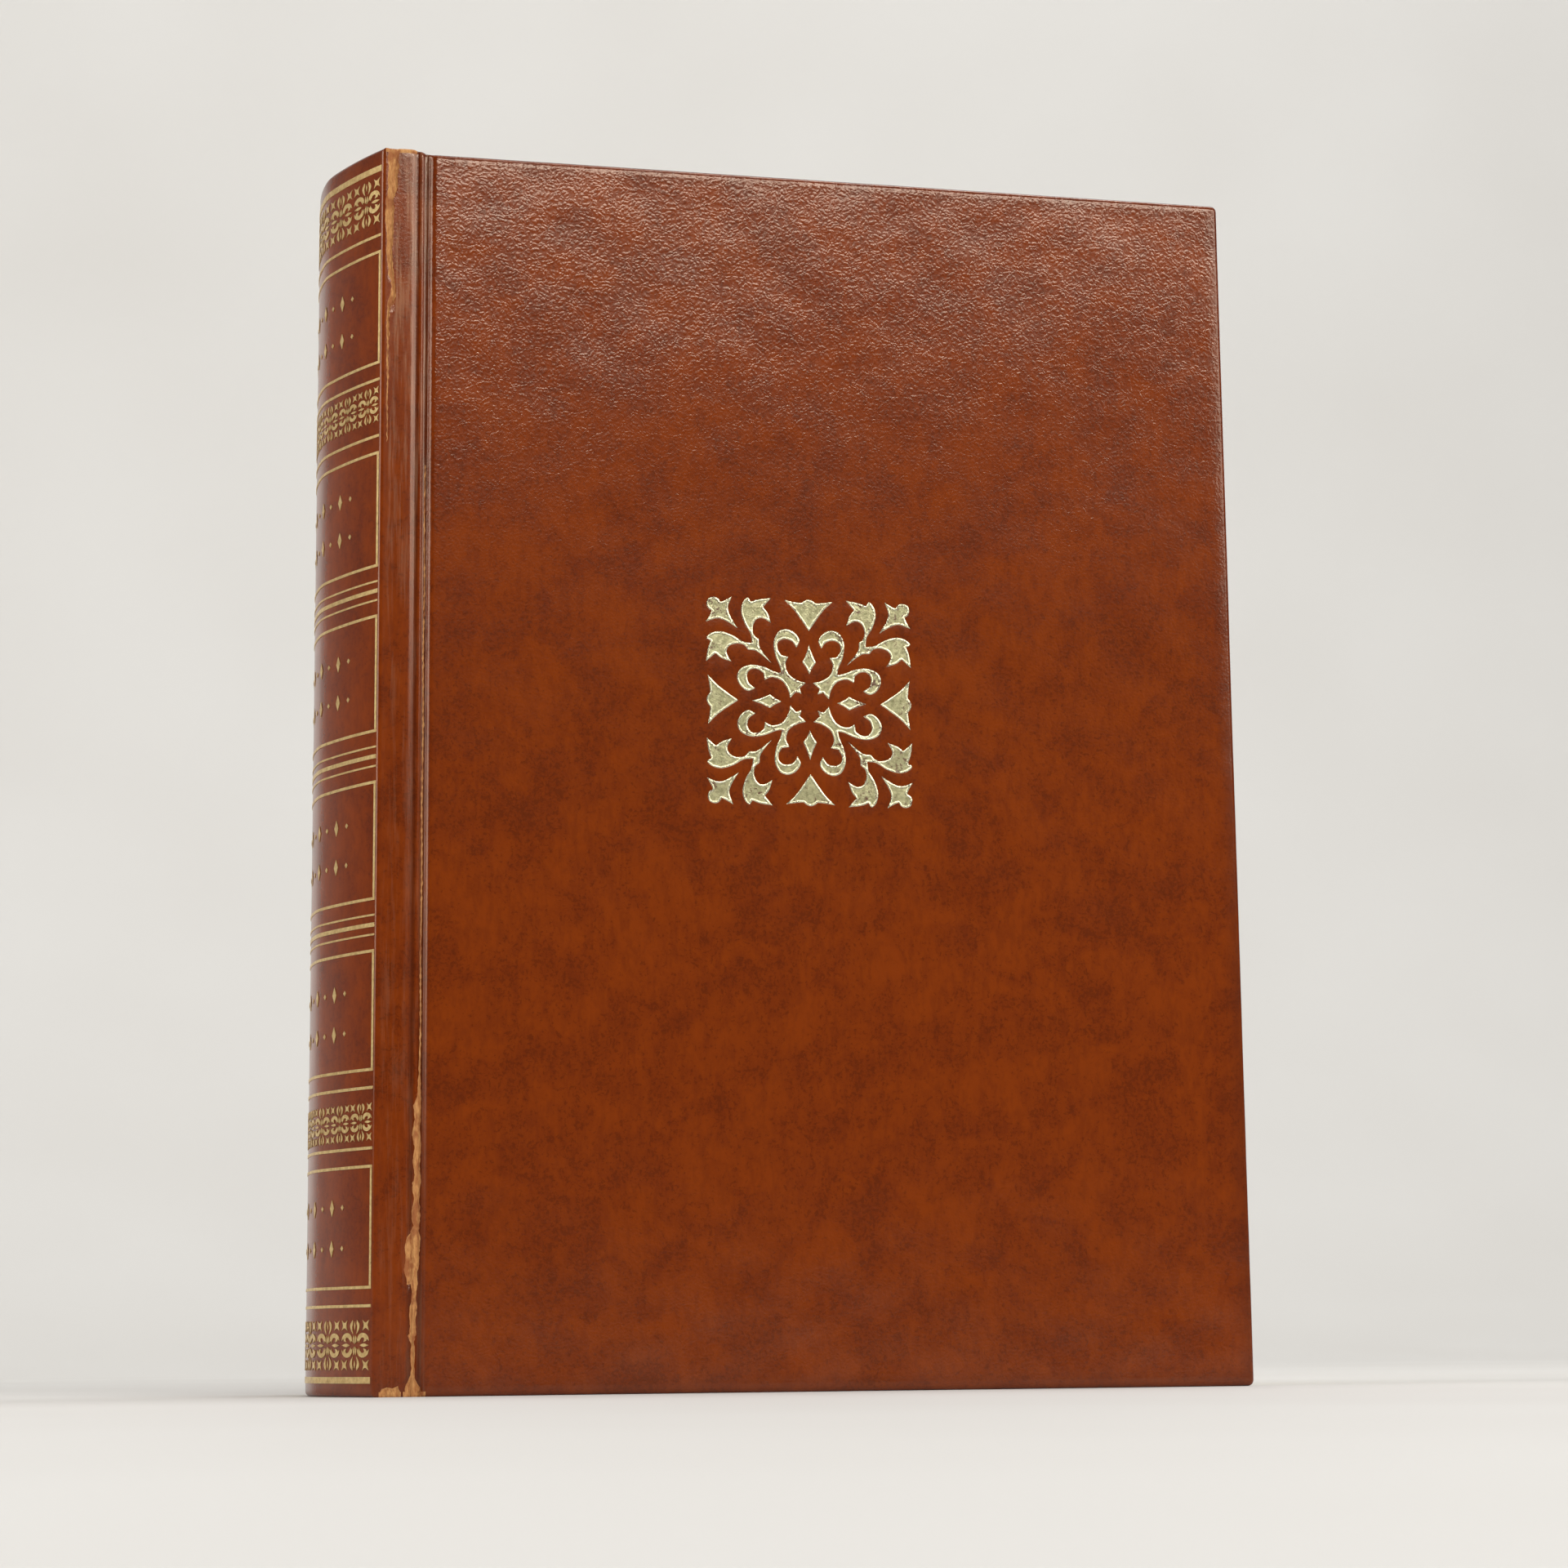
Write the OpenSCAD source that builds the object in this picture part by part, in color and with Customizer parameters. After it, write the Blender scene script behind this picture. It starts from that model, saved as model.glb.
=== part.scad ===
// Leather-bound book with a rounded spine, standing on its tail.
// +X runs from the spine to the fore-edge, +Y from the front cover to the back cover, +Z up to the head.
// The origin is under the middle of the book, on the surface that it stands on.

/* [Book] */
// Height of the boards, tail to head
book_h = 200; // [160:1:240]
// Thickness over both closed covers
book_t = 48; // [40:1:60]
// Width of a cover, from the joint groove to the fore-edge
cover_w = 135.5; // [100:0.5:180]
// Radius of the worn cover corners
corner_r = 2; // [1.5:0.1:5]
// How far the boards stand out past the pages
square_w = 3; // [2:0.1:5]

/* [Boards and leather] */
// Thickness of a cover board
board_t = 2.6; // [2:0.1:4]
// Thickness of the leather on the outside
leather_t = 0.8; // [0.6:0.05:1.1]
// Thickness of the leather where it is pared and turned in
turn_in_t = 0.3; // [0.2:0.05:0.5]
// Width of the turned-in leather inside a cover
turn_in_w = 14; // [8:0.5:20]
// Radius of the leather over a board's edge
edge_r = 1; // [0.6:0.1:1.4]

/* [Joint] */
// Width of the joint, from the spine's ridge to the groove at the board
joint_w = 7.1; // [6:0.1:9]
// Depth of the joint below the cover's face
joint_sink = 0.6; // [0.4:0.05:1]
// Distance from the ridge to the line that the cover turns about
hinge_in = 1.1; // [0.8:0.1:2]
// Gap between the leather of the spine and of the cover at the hinge line
hinge_gap = 0.3; // [0.2:0.05:0.5]
// Depth of the two grooves pressed beside the board
groove_d = 0.35; // [0.2:0.05:0.45]
// Width of each pressed groove
groove_w = 1.1; // [0.8:0.05:1.4]
// Width of the ridge between the two grooves
fillet_w = 0.3; // [0.2:0.05:0.5]
// Distance from the groove to the hidden edge of the board
board_in = 0.6; // [0.4:0.05:0.8]
// Bare strip inside a cover, from the board's edge to the paper and the turned-in leather
inside_gap = 1; // [0.5:0.1:2]
// How far the torn leather layer is missing at the joint
tear_d = 0.4; // [0.2:0.05:0.5]
// How far the head cap stands above the boards
cap_rise = 0.8; // [0:0.1:1.5]

/* [Spine arch] */
// Radius of the arch at its crown
crown_r = 48; // [40:1:60]
// Radius of the arch at its knees, between crown and sides
knee_r = 17; // [12:1:24]
// Slope at the end of the crown arc
crown_a = 6; // [4:0.5:8]
// Slope at the end of the knee arc
knee_a = 20; // [16:0.5:22]
// Slope at the foot of the arch, beside the ridge
side_a = 31; // [28:0.5:34]
// Radius inside the ridge where the leather turns from spine to joint
ridge_in_r = 0.1; // [0.05:0.05:0.4]

/* [Lining] */
// Thickness of the shaped card inside the spine leather
inlay_t = 0.6; // [0.4:0.1:1]
// Thickness of the lining paper on the back of the pages
liner_t = 0.3; // [0.2:0.05:0.5]
// Distance from the ends of the boards to the ends of the lining paper
liner_end = 5; // [5:0.5:12]
// Thickness of the lining cloth
cloth_t = 0.3; // [0.2:0.05:0.3]
// Distance from the ends of the boards to the ends of the lining cloth
cloth_end = 18; // [16:1:30]
// Width of the cloth flange on a board
flange_w = 25; // [15:1:35]
// Thickness of a pastedown or flyleaf
paper_t = 0.2; // [0.15:0.05:0.4]
// Leather left bare around a pastedown
margin_w = 4; // [2:0.5:6]
// Thickness of a glue line
glue_gap = 0.03; // [0.02:0.01:0.05]
// Gap between a closed cover and the flyleaf
cover_gap = 0.3; // [0.2:0.05:0.5]
// Air between the turned-in spine leather and the lining paper
hollow_gap = 0.1; // [0.05:0.05:0.3]

/* [Page block] */
// Hollow of the fore-edge at its middle
fore_hollow = 4.5; // [2:0.5:8]
// Width of the flare from the page faces out to the shoulders
flare_w = 4; // [3:0.1:5]
// Distance from the groove to the start of the flare
flare_in = 0.6; // [0.3:0.1:1.2]
// Depth of the shoulder's tip below the cover's face
shoulder_u = 2.3; // [2.2:0.1:3]
// Height of a head band
band_roll = 2; // [1.5:0.1:2.4]
// Thickness of a head band
band_t = 1.6; // [1.2:0.1:2]
// How far a head band stands out past the back of the pages
band_out = 0.2; // [0.1:0.05:0.3]
// How far the top and bottom of a head band stand back from its middle
band_step = 0.3; // [0.1:0.05:0.4]

/* [Gilding] */
// Thickness of the gold foil
foil_t = 0.1; // [0.05:0.01:0.15]
// Depth that the stamp is pressed into the cover
stamp_d = 0.25; // [0.2:0.05:0.4]
// Side of the square stamp on the front cover
stamp_w = 34; // [20:1:60]
// Centre of the stamp above the tail
stamp_z = 110.7; // [60:0.1:130]
// Centre of the stamp from the joint groove
stamp_x = 62.5; // [40:0.5:80]
// Bare leather at each end of the spine
gild_margin = 2.1; // [1:0.1:4]
// Height of the thick rule at each end
thick_rule = 1; // [0.6:0.1:1.5]
// Height of a single rule
rule_h = 0.45; // [0.3:0.05:0.8]
// Height of a thin rule beside a middle rule
thin_rule = 0.3; // [0.2:0.05:0.4]
// Height of the middle rule of three
mid_rule = 0.65; // [0.4:0.05:0.9]
// Distance from a middle rule to its thin rules
thin_step = 1.55; // [1.2:0.05:2]
// Distance from a middle rule to the panels beside it
triple_to_panel = 3.9; // [3:0.1:5]
// Distance from a single rule to a panel
rule_to_panel = 2.6; // [2:0.1:4]
// Distance from a single rule to an ornament band
rule_to_band = 1.75; // [1.2:0.05:3]
// Height of the two ornament bands between panels
narrow_band_h = 5.9; // [4:0.1:8]
// Height of the two ornament bands at the ends
wide_band_h = 7.7; // [5:0.1:9]
// Distance from an end band to the thick rule
thick_gap = 1.4; // [1:0.1:2]
// Space between two ornaments in a band
unit_gap = 0.4; // [0.2:0.1:1]
// Height of the lozenges in the panels
lozenge_h = 2.6; // [1.5:0.1:4]
// Distance from a lozenge to the dot beside it
lozenge_step = 3.3; // [2.5:0.1:3.4]

/* [Hidden] */

leather_colour = [0.49, 0.2, 0.1];
board_colour = [0.62, 0.56, 0.47];
cloth_colour = [0.9, 0.87, 0.79];
paper_colour = [0.92, 0.87, 0.75];
page_colour = [0.88, 0.82, 0.68];
silk_colour = [0.72, 0.62, 0.3];
gold_colour = [0.78, 0.67, 0.43];

// Depths below the outer face of a cover
inner_u = leather_t + board_t + 2 * glue_gap;
turn_u = inner_u + turn_in_t;
raised_u = inner_u + max(turn_in_t, cloth_t) + glue_gap;
cover_u = raised_u + paper_t;
fly_u = cover_u + cover_gap;
page_u = fly_u + paper_t + glue_gap;
joint_u = joint_sink + leather_t;
// How far a cutting shape reaches past the face that it cuts
over = 1;

// Depths below the outer face of the spine leather
inlay_d = leather_t + glue_gap;
turn_d = inlay_d + inlay_t + glue_gap;
liner_d = turn_d + turn_in_t + hollow_gap;
mull_d = liner_d + liner_t + glue_gap;
page_d = mull_d + cloth_t + glue_gap;

// The arch of the spine: four arcs that meet smoothly, from the crown to the joint
half_t = book_t / 2;
arch_half = half_t - joint_sink;
ridge_r = leather_t + ridge_in_r;
crown_run = crown_r * sin(crown_a);
knee_run = knee_r * (sin(knee_a) - sin(crown_a));
ridge_run = ridge_r * (1 - sin(side_a));
side_r = (arch_half - crown_run - knee_run - ridge_run) / (sin(side_a) - sin(knee_a));
crown_rise = crown_r * (1 - cos(crown_a));
knee_rise = knee_r * (cos(crown_a) - cos(knee_a));
side_rise = side_r * (cos(knee_a) - cos(side_a));
arch_rise = crown_rise + knee_rise + side_rise + ridge_r * cos(side_a);

// Places along X
total_w = foil_t + arch_rise + joint_w + cover_w;
crown_x = foil_t - total_w / 2;
ridge_x = crown_x + arch_rise;
hinge_x = ridge_x + hinge_in;
groove_x = ridge_x + joint_w;
board_x = groove_x + board_in;
fore_x = groove_x + cover_w;
page_x = fore_x - square_w;
spine_h = book_h + cap_rise;
page_half = half_t - page_u;

// Direction out of the arch where its slope is h
function out(h) = [-cos(h), -sin(h)];
crown_c = [crown_x + crown_r, 0];
knee_c = crown_c + (crown_r - knee_r) * out(crown_a);
side_c = knee_c + (knee_r - side_r) * out(knee_a);
ridge_c = side_c + (side_r - ridge_r) * out(side_a);

// Point of the arch at slope h, sunk by d; a negative slope is on the back cover's side
function front_arch(h, d) =
    h <= crown_a ? crown_c + (crown_r - d) * out(h) :
    h <= knee_a ? knee_c + (knee_r - d) * out(h) :
    h <= side_a ? side_c + (side_r - d) * out(h) :
    ridge_c + (ridge_r - d) * out(h);
function arch_at(h, d) = let (p = front_arch(abs(h), d)) [p.x, h < 0 ? -p.y : p.y];
function steps(a, b, n) = [for (i = [1:n]) a + (b - a) * i / n];
slopes = concat(steps(0, crown_a, 3), steps(crown_a, knee_a, 5), steps(knee_a, side_a, 5), steps(side_a, 90, 5));
function reversed(v) = [for (i = [len(v) - 1:-1:0]) v[i]];
function slopes_to(a) = [for (h = slopes) if (h <= a + 0.01) h];
function arch_line(d, a) = [for (h = concat(-reversed(slopes_to(a)), [0], slopes_to(a))) arch_at(h, d)];

// Length along the arch, and the slope there
crown_s = crown_r * crown_a * PI / 180;
knee_s = crown_s + knee_r * (knee_a - crown_a) * PI / 180;
side_s = knee_s + side_r * (side_a - knee_a) * PI / 180;
function slope_at(s) =
    s <= crown_s ? s / crown_r * 180 / PI :
    s <= knee_s ? crown_a + (s - crown_s) / knee_r * 180 / PI :
    knee_a + (s - knee_s) / side_r * 180 / PI;

// Heights on the spine, above and below its middle
panel_h = (book_h / 2 - gild_margin - thick_rule - thick_gap - wide_band_h - narrow_band_h
    - 3 * rule_to_band - 3 * rule_to_panel - 3 * triple_to_panel) / 3;
panel_a = triple_to_panel;
triple_z = panel_a + panel_h + triple_to_panel;
panel_b = triple_z + triple_to_panel;
rule_1 = panel_b + panel_h + rule_to_panel;
narrow_z = rule_1 + rule_to_band;
rule_2 = narrow_z + narrow_band_h + rule_to_band;
panel_c = rule_2 + rule_to_panel;
rule_3 = panel_c + panel_h + rule_to_panel;
wide_z = rule_3 + rule_to_band;
thick_z = wide_z + wide_band_h + thick_gap;

// Points of a quarter circle or less, from angle a to angle b
function bend(x, y, r, a, b, n = 5) = [for (i = [0:n]) [x + r * cos(a + (b - a) * i / n), y + r * sin(a + (b - a) * i / n)]];
function mirrored_y(v) = [for (p = v) [p.x, -p.y]];

// A layer of the spine between two depths, from slope -a to slope a
module arch_layer(d_out, d_in, a, z_low, z_high) {
    translate([0, 0, z_low])
        linear_extrude(z_high - z_low)
            polygon(concat(arch_line(d_out, a), reversed(arch_line(d_in, a))));
}

// Stands a flat shape on the spine, at length s from the crown towards the front and at height z
module on_spine(s, z) {
    h = sign(s) * slope_at(abs(s));
    p = arch_at(h, 0);
    translate([p.x, p.y, z])
        rotate([90, 0, h - 90])
            translate([0, 0, glue_gap])
                linear_extrude(foil_t - glue_gap)
                    children();
}

// Turns a plan drawn as (x, depth below the front face) into a wall from z_low to z_high
module front_plan(points, z_low, z_high) {
    translate([0, -half_t, z_low])
        linear_extrude(z_high - z_low)
            polygon(points);
}

// Turns a front view drawn as (x, z) into a wall between two depths below the front face
module front_view(u_low, u_high) {
    translate([0, u_high - half_t, 0])
        rotate([90, 0, 0])
            linear_extrude(u_high - u_low)
                children();
}

// A rectangle with its two fore-edge corners rounded
module fore_outline(x_low, x_high, z_low, z_high, r) {
    polygon(concat(
        [[x_low, z_low]],
        bend(x_high - r, z_low + r, r, -90, 0),
        bend(x_high - r, z_high - r, r, 0, 90),
        [[x_low, z_high]]));
}

module box(x_low, x_high, u_low, u_high, z_low, z_high) {
    translate([x_low, u_low - half_t, z_low])
        cube([x_high - x_low, u_high - u_low, z_high - z_low]);
}

// Torn patches of the front joint: one from the hinge line and the head, one from the groove and the tail
head_tear = [[-1.4, 2.6], [-0.9, -0.5], [-0.8, -8], [-1.2, -8.6], [-1.1, -18.4], [-0.7, -19],
    [-0.7, -21.4], [-0.3, -22.8], [-0.6, -24.8], [-0.9, -26.3], [-0.8, -48], [-0.5, -47.6], [-0.6, -27.5],
    [0.7, -25.4], [0.9, -23], [0.5, -21.2], [0.2, -18.6], [0.1, -14.4], [0.2, -8.3], [0.9, -7.7],
    [1, -0.4], [3.8, 0.2], [3.8, 2.6]];
tail_tear = [[-0.7, 147], [-0.75, 60], [-0.9, 46], [-1.8, 45], [-1.6, 24.6], [-2.5, 24.1], [-2.8, 20],
    [-2.3, 17.1], [-1.6, 17], [-2, 13.5], [-1.9, 9], [-1.6, 7], [-1.5, 3], [-2.7, -1], [0.3, -1], [-0.9, 2.5],
    [-1, 8.8], [-0.8, 13.8], [-0.7, 19.6], [-0.3, 21], [-0.4, 45], [-0.35, 147]];

module joint_tears() {
    front_view(-over, joint_sink + tear_d) {
        translate([hinge_x, book_h])
            polygon(head_tear);
        translate([groove_x, 0])
            polygon(tail_tear);
    }
}

// Pages, rounded at the back, flared to a shoulder on each side and hollow at the fore-edge
flare = [for (i = [0:5]) let (k = (1 - cos(36 * i)) / 2)
    [groove_x - flare_in - flare_w * i / 5, -page_half - (half_t - shoulder_u - page_half) * k]];
hollow_r = (pow(page_half, 2) + pow(fore_hollow, 2)) / (2 * fore_hollow);
hollow_a = asin(page_half / hollow_r);
fore_line = bend(page_x - fore_hollow + hollow_r, 0, hollow_r, 180 + hollow_a, 180 - hollow_a, 12);

module text_block() {
    color(page_colour)
        translate([0, 0, square_w])
            linear_extrude(book_h - 2 * square_w)
                polygon(concat(fore_line, mirrored_y(flare), arch_line(page_d, side_a), reversed(flare)));
}

// Open cloth glued to the back of the pages
module mull() {
    color(cloth_colour)
        arch_layer(mull_d, mull_d + cloth_t, side_a, cloth_end, book_h - cloth_end);
}

// Lining paper over the cloth
module spine_liner() {
    color(paper_colour)
        arch_layer(liner_d, liner_d + liner_t, side_a, liner_end, book_h - liner_end);
}

// Rolled band at an end of the spine: a full middle layer between two narrower ones
module end_band(z_low) {
    band_a = knee_a + 4 / 5 * (side_a - knee_a);
    low_d = page_d - band_out;
    high_d = low_d + band_t;
    color(silk_colour) {
        arch_layer(low_d, high_d, band_a, z_low + band_step, z_low + band_roll - band_step);
        arch_layer(low_d + band_step, high_d - band_step, band_a, z_low, z_low + band_roll);
    }
}

module head_band() {
    end_band(book_h - square_w + glue_gap);
}

module tail_band() {
    end_band(square_w - glue_gap - band_roll);
}

module flyleaf() {
    color(paper_colour)
        box(groove_x, page_x, fly_u, fly_u + paper_t, square_w, book_h - square_w);
}

module front_flyleaf() {
    flyleaf();
}

module back_flyleaf() {
    mirror([0, 1, 0])
        flyleaf();
}

// Card that keeps the spine leather in its arch
module spine_inlay() {
    color(board_colour)
        arch_layer(inlay_d, inlay_d + inlay_t, side_a, leather_t + glue_gap, spine_h - leather_t - glue_gap);
}

// Leather over the spine and its two ridges, turned in over the card at head and tail
module spine_leather() {
    edge_x = hinge_x - hinge_gap / 2;
    outside = concat([[edge_x, arch_half]], arch_line(0, 90), [[edge_x, -arch_half]]);
    inside = concat([[edge_x, arch_half - leather_t]], arch_line(leather_t, 90), [[edge_x, leather_t - arch_half]]);
    color(leather_colour)
        difference() {
            union() {
                linear_extrude(spine_h)
                    polygon(concat(outside, reversed(inside)));
                arch_layer(leather_t / 2, turn_d + turn_in_t, side_a, 0, leather_t);
                arch_layer(turn_d, turn_d + turn_in_t, side_a, 0, turn_in_w);
                arch_layer(leather_t / 2, turn_d + turn_in_t, side_a, spine_h - leather_t, spine_h);
                arch_layer(turn_d, turn_d + turn_in_t, side_a, spine_h - turn_in_w, spine_h);
            }
            joint_tears();
        }
}

// One gold rule across the spine, its middle at height z
module rule(z, h) {
    arch_layer(-foil_t, 0, side_a, z - h / 2, z + h / 2);
}

module spine_rules() {
    middle = book_h / 2;
    color(gold_colour) {
        rule(middle, mid_rule);
        for (side = [-1, 1]) {
            rule(middle + side * thin_step, thin_rule);
            rule(middle + side * triple_z, mid_rule);
            rule(middle + side * (triple_z - thin_step), thin_rule);
            rule(middle + side * (triple_z + thin_step), thin_rule);
            rule(middle + side * rule_1, rule_h);
            rule(middle + side * rule_2, rule_h);
            rule(middle + side * rule_3, rule_h);
            rule(middle + side * (thick_z + thick_rule / 2), thick_rule);
        }
    }
}

// Gold line around one panel, from its low edge up
module panel_frame(z_low) {
    z_high = z_low + panel_h;
    rule(z_low + rule_h / 2, rule_h);
    rule(z_high - rule_h / 2, rule_h);
    for (side = [-1, 1])
        on_spine(side * (side_s - rule_h / 2), (z_low + z_high) / 2)
            square([rule_h, panel_h - 2 * rule_h - 2 * glue_gap], center = true);
}

module spine_frames() {
    middle = book_h / 2;
    color(gold_colour)
        for (z = [panel_a, panel_b, panel_c]) {
            panel_frame(middle + z);
            panel_frame(middle - z - panel_h);
        }
}

// Star with n points, its hollows at ratio k of its radius
module star(n, r, k, turn = 0) {
    polygon([for (i = [0:2 * n - 1]) (i % 2 == 0 ? r : r * k) * [cos(turn + 180 * i / n), sin(turn + 180 * i / n)]]);
}

module lozenge(w, h) {
    polygon([[0, -h / 2], [w / 2, 0], [0, h / 2], [-w / 2, 0]]);
}

// One square ornament of a band, of half side r: corner leaves, edge leaves and a rosette
module band_unit(s, z, r) {
    for (u = [-1, 1], v = [-1, 1]) {
        on_spine(s + 0.78 * u * r, z + 0.8 * v * r)
            star(4, 0.26 * r, 0.42, 45);
        on_spine(s + 0.23 * u * r, z + 0.55 * v * r)
            rotate(-14 * u * v)
                lozenge(0.16 * r, 0.5 * r);
        on_spine(s + 0.55 * u * r, z + 0.23 * v * r)
            rotate(14 * u * v)
                lozenge(0.5 * r, 0.16 * r);
    }
    for (v = [-1, 1]) {
        on_spine(s, z + 0.86 * v * r)
            polygon([[-0.2 * r, 0.1 * v * r], [0.2 * r, 0.1 * v * r], [0, -0.16 * v * r]]);
        on_spine(s + 0.9 * v * r, z)
            polygon([[0.05 * v * r, -0.2 * r], [0.05 * v * r, 0.2 * r], [-0.16 * v * r, 0]]);
    }
}

module ornament_band(z_low, h) {
    count = round(2 * side_s / (h + unit_gap));
    pitch = 2 * side_s / count;
    for (i = [0:count - 1])
        band_unit((i + 0.5) * pitch - side_s, z_low + h / 2, min(h, pitch - unit_gap) / 2);
}

module spine_bands() {
    middle = book_h / 2;
    color(gold_colour)
        for (band = [[narrow_z, narrow_band_h], [wide_z, wide_band_h]]) {
            ornament_band(middle + band[0], band[1]);
            ornament_band(middle - band[0] - band[1], band[1]);
        }
}

// Two plain rows in one panel, at its third points: lozenges with a dot between each two
module panel_rows(z_low) {
    for (row = [1 / 3, 2 / 3], i = [-5:5])
        on_spine(i * lozenge_step, z_low + row * panel_h)
            if (i % 2 == 0)
                lozenge(lozenge_h / 2, lozenge_h);
            else
                lozenge(lozenge_h / 3, lozenge_h / 3);
}

module spine_tooling() {
    middle = book_h / 2;
    color(gold_colour)
        for (z = [panel_a, panel_b, panel_c]) {
            panel_rows(middle + z);
            panel_rows(middle - z - panel_h);
        }
}

// Boards stop short of the leather's edge by its thickness
board_high_x = fore_x - leather_t - glue_gap;
board_end = leather_t + glue_gap;

module board() {
    color(board_colour)
        front_view(leather_t + glue_gap, leather_t + glue_gap + board_t)
            fore_outline(board_x + glue_gap, board_high_x, board_end, book_h - board_end, corner_r - leather_t);
}

module front_board() {
    board();
}

module back_board() {
    mirror([0, 1, 0])
        board();
}

// Joint strip of a cover: flat beside the hinge line, then two pressed grooves with a ridge between them
strip_x = hinge_x + hinge_gap / 2;
function pressed(x) = [[x, joint_sink], [x + groove_w / 3, joint_sink + groove_d],
    [x + 2 * groove_w / 3, joint_sink + groove_d], [x + groove_w, joint_sink]];
strip_plan = concat([[strip_x, joint_sink]], pressed(groove_x - 2 * groove_w - fillet_w), pressed(groove_x - groove_w),
    [[board_x, joint_sink], [board_x, joint_u], [strip_x, joint_u]]);

// Leather over a board: a plan rounded at the fore-edge, crossed with a section rounded at head and tail
board_plan = concat([[groove_x, edge_r / 2], [groove_x + edge_r / 2, 0]],
    bend(fore_x - edge_r, edge_r, edge_r, -90, 0),
    bend(fore_x - edge_r, turn_u - edge_r, edge_r, 0, 90),
    [[board_x, turn_u], [board_x, joint_u], [groove_x, joint_u]]);
end_section = concat(
    bend(edge_r - half_t, edge_r, edge_r, 180, 270),
    bend(turn_u - edge_r - half_t, edge_r, edge_r, 270, 360),
    bend(turn_u - edge_r - half_t, book_h - edge_r, edge_r, 0, 90),
    bend(edge_r - half_t, book_h - edge_r, edge_r, 90, 180));

module cover_leather() {
    difference() {
        union() {
            front_plan(strip_plan, 0, spine_h);
            intersection() {
                front_plan(board_plan, 0, book_h);
                translate([groove_x - over, 0, 0])
                    rotate([90, 0, 90])
                        linear_extrude(cover_w + 2 * over)
                            polygon(end_section);
                front_view(-over, turn_u + over)
                    fore_outline(groove_x - over, fore_x, 0, book_h, corner_r);
            }
        }
        front_view(leather_t, inner_u)
            fore_outline(board_x, board_high_x + glue_gap, leather_t, book_h - leather_t, corner_r - leather_t);
        box(board_x - over, board_x + inside_gap, joint_u, turn_u + over, -over, book_h + over);
        box(board_x - over, fore_x - turn_in_w, inner_u - glue_gap, turn_u + over, turn_in_w, book_h - turn_in_w);
    }
}

// The cover's stamp: one octant of a square arabesque, repeated by turning and mirroring
leaf_points = [[0.5, 0.55], [0.6, 0.71], [0.68, 0.87], [0.6, 1], [0.55, 0.95], [0.38, 1], [0.45, 0.92],
    [0.37, 0.79], [0.48, 0.83], [0.53, 0.74], [0.46, 0.62]];
scroll_points = [[0.23, 0.29], [0.3, 0.39], [0.35, 0.54], [0.31, 0.67], [0.23, 0.71], [0.15, 0.69], [0.11, 0.62],
    [0.13, 0.53], [0.17, 0.6], [0.23, 0.63], [0.3, 0.57], [0.3, 0.47], [0.21, 0.45], [0.25, 0.41]];
corner_points = [[1, 1], [0.9, 0.95], [0.77, 1], [0.8, 0.86], [0.7, 0.7], [0.86, 0.8], [1, 0.77], [0.95, 0.9]];
nucleus_points = [[0.04, 0.2], [0.09, 0.09], [0.2, 0.04], [0.19, 0.13], [0.26, 0.26], [0.13, 0.19]];
stem_points = [[0.38, 0.38], [0.49, 0.46], [0.54, 0.54], [0.46, 0.49]];
crest_points = [[-0.24, 1], [-0.14, 0.95], [0, 1], [0.14, 0.95], [0.24, 1], [0.1, 0.83], [0, 0.7], [-0.1, 0.83]];
bud_points = [[0, 0.27], [0.066, 0.38], [0, 0.55], [-0.066, 0.38]];

module arabesque() {
    scale(stamp_w / 2)
        for (turn = [0:90:270])
            rotate(turn) {
                polygon(corner_points);
                polygon(nucleus_points);
                polygon(stem_points);
                polygon(crest_points);
                polygon(bud_points);
                for (flip = [0, 1])
                    mirror([flip, -flip, 0]) {
                        polygon(leaf_points);
                        polygon(scroll_points);
                    }
            }
}

module stamp(u_low, u_high) {
    front_view(u_low, u_high)
        translate([groove_x + stamp_x, stamp_z])
            arabesque();
}

module front_cover_leather() {
    color(leather_colour)
        difference() {
            cover_leather();
            joint_tears();
            stamp(-over, stamp_d);
        }
}

module back_cover_leather() {
    color(leather_colour)
        mirror([0, 1, 0])
            cover_leather();
}

module cover_ornament() {
    color(gold_colour)
        stamp(stamp_d - foil_t, stamp_d);
}

// Cloth flange on the inside of a board, under the pastedown
module mull_flange() {
    color(cloth_colour)
        box(board_x + glue_gap, board_x + flange_w, inner_u, inner_u + cloth_t, cloth_end, book_h - cloth_end);
}

module front_mull_flange() {
    mull_flange();
}

module back_mull_flange() {
    mirror([0, 1, 0])
        mull_flange();
}

// Paper over the turn-ins and the flange, which sinks onto the board between them
module pastedown() {
    low_x = board_x + flange_w + glue_gap;
    high_x = fore_x - turn_in_w - glue_gap;
    low_z = turn_in_w + glue_gap;
    high_z = book_h - low_z;
    color(paper_colour)
        difference() {
            box(board_x + inside_gap, fore_x - margin_w, inner_u + glue_gap, cover_u, margin_w, book_h - margin_w);
            difference() {
                box(board_x, fore_x, inner_u, raised_u, 0, book_h);
                box(low_x, high_x, inner_u - over, cover_u + over, low_z, high_z);
            }
            box(low_x + paper_t, high_x - paper_t, inner_u + glue_gap + paper_t, cover_u + over,
                low_z + paper_t, high_z - paper_t);
        }
}

module front_pastedown() {
    pastedown();
}

module back_pastedown() {
    mirror([0, 1, 0])
        pastedown();
}

text_block();
mull();
spine_liner();
head_band();
tail_band();
front_flyleaf();
back_flyleaf();
spine_inlay();
spine_leather();
spine_rules();
spine_frames();
spine_bands();
spine_tooling();
front_board();
front_cover_leather();
front_pastedown();
front_mull_flange();
cover_ornament();
back_board();
back_cover_leather();
back_pastedown();
back_mull_flange();
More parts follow.
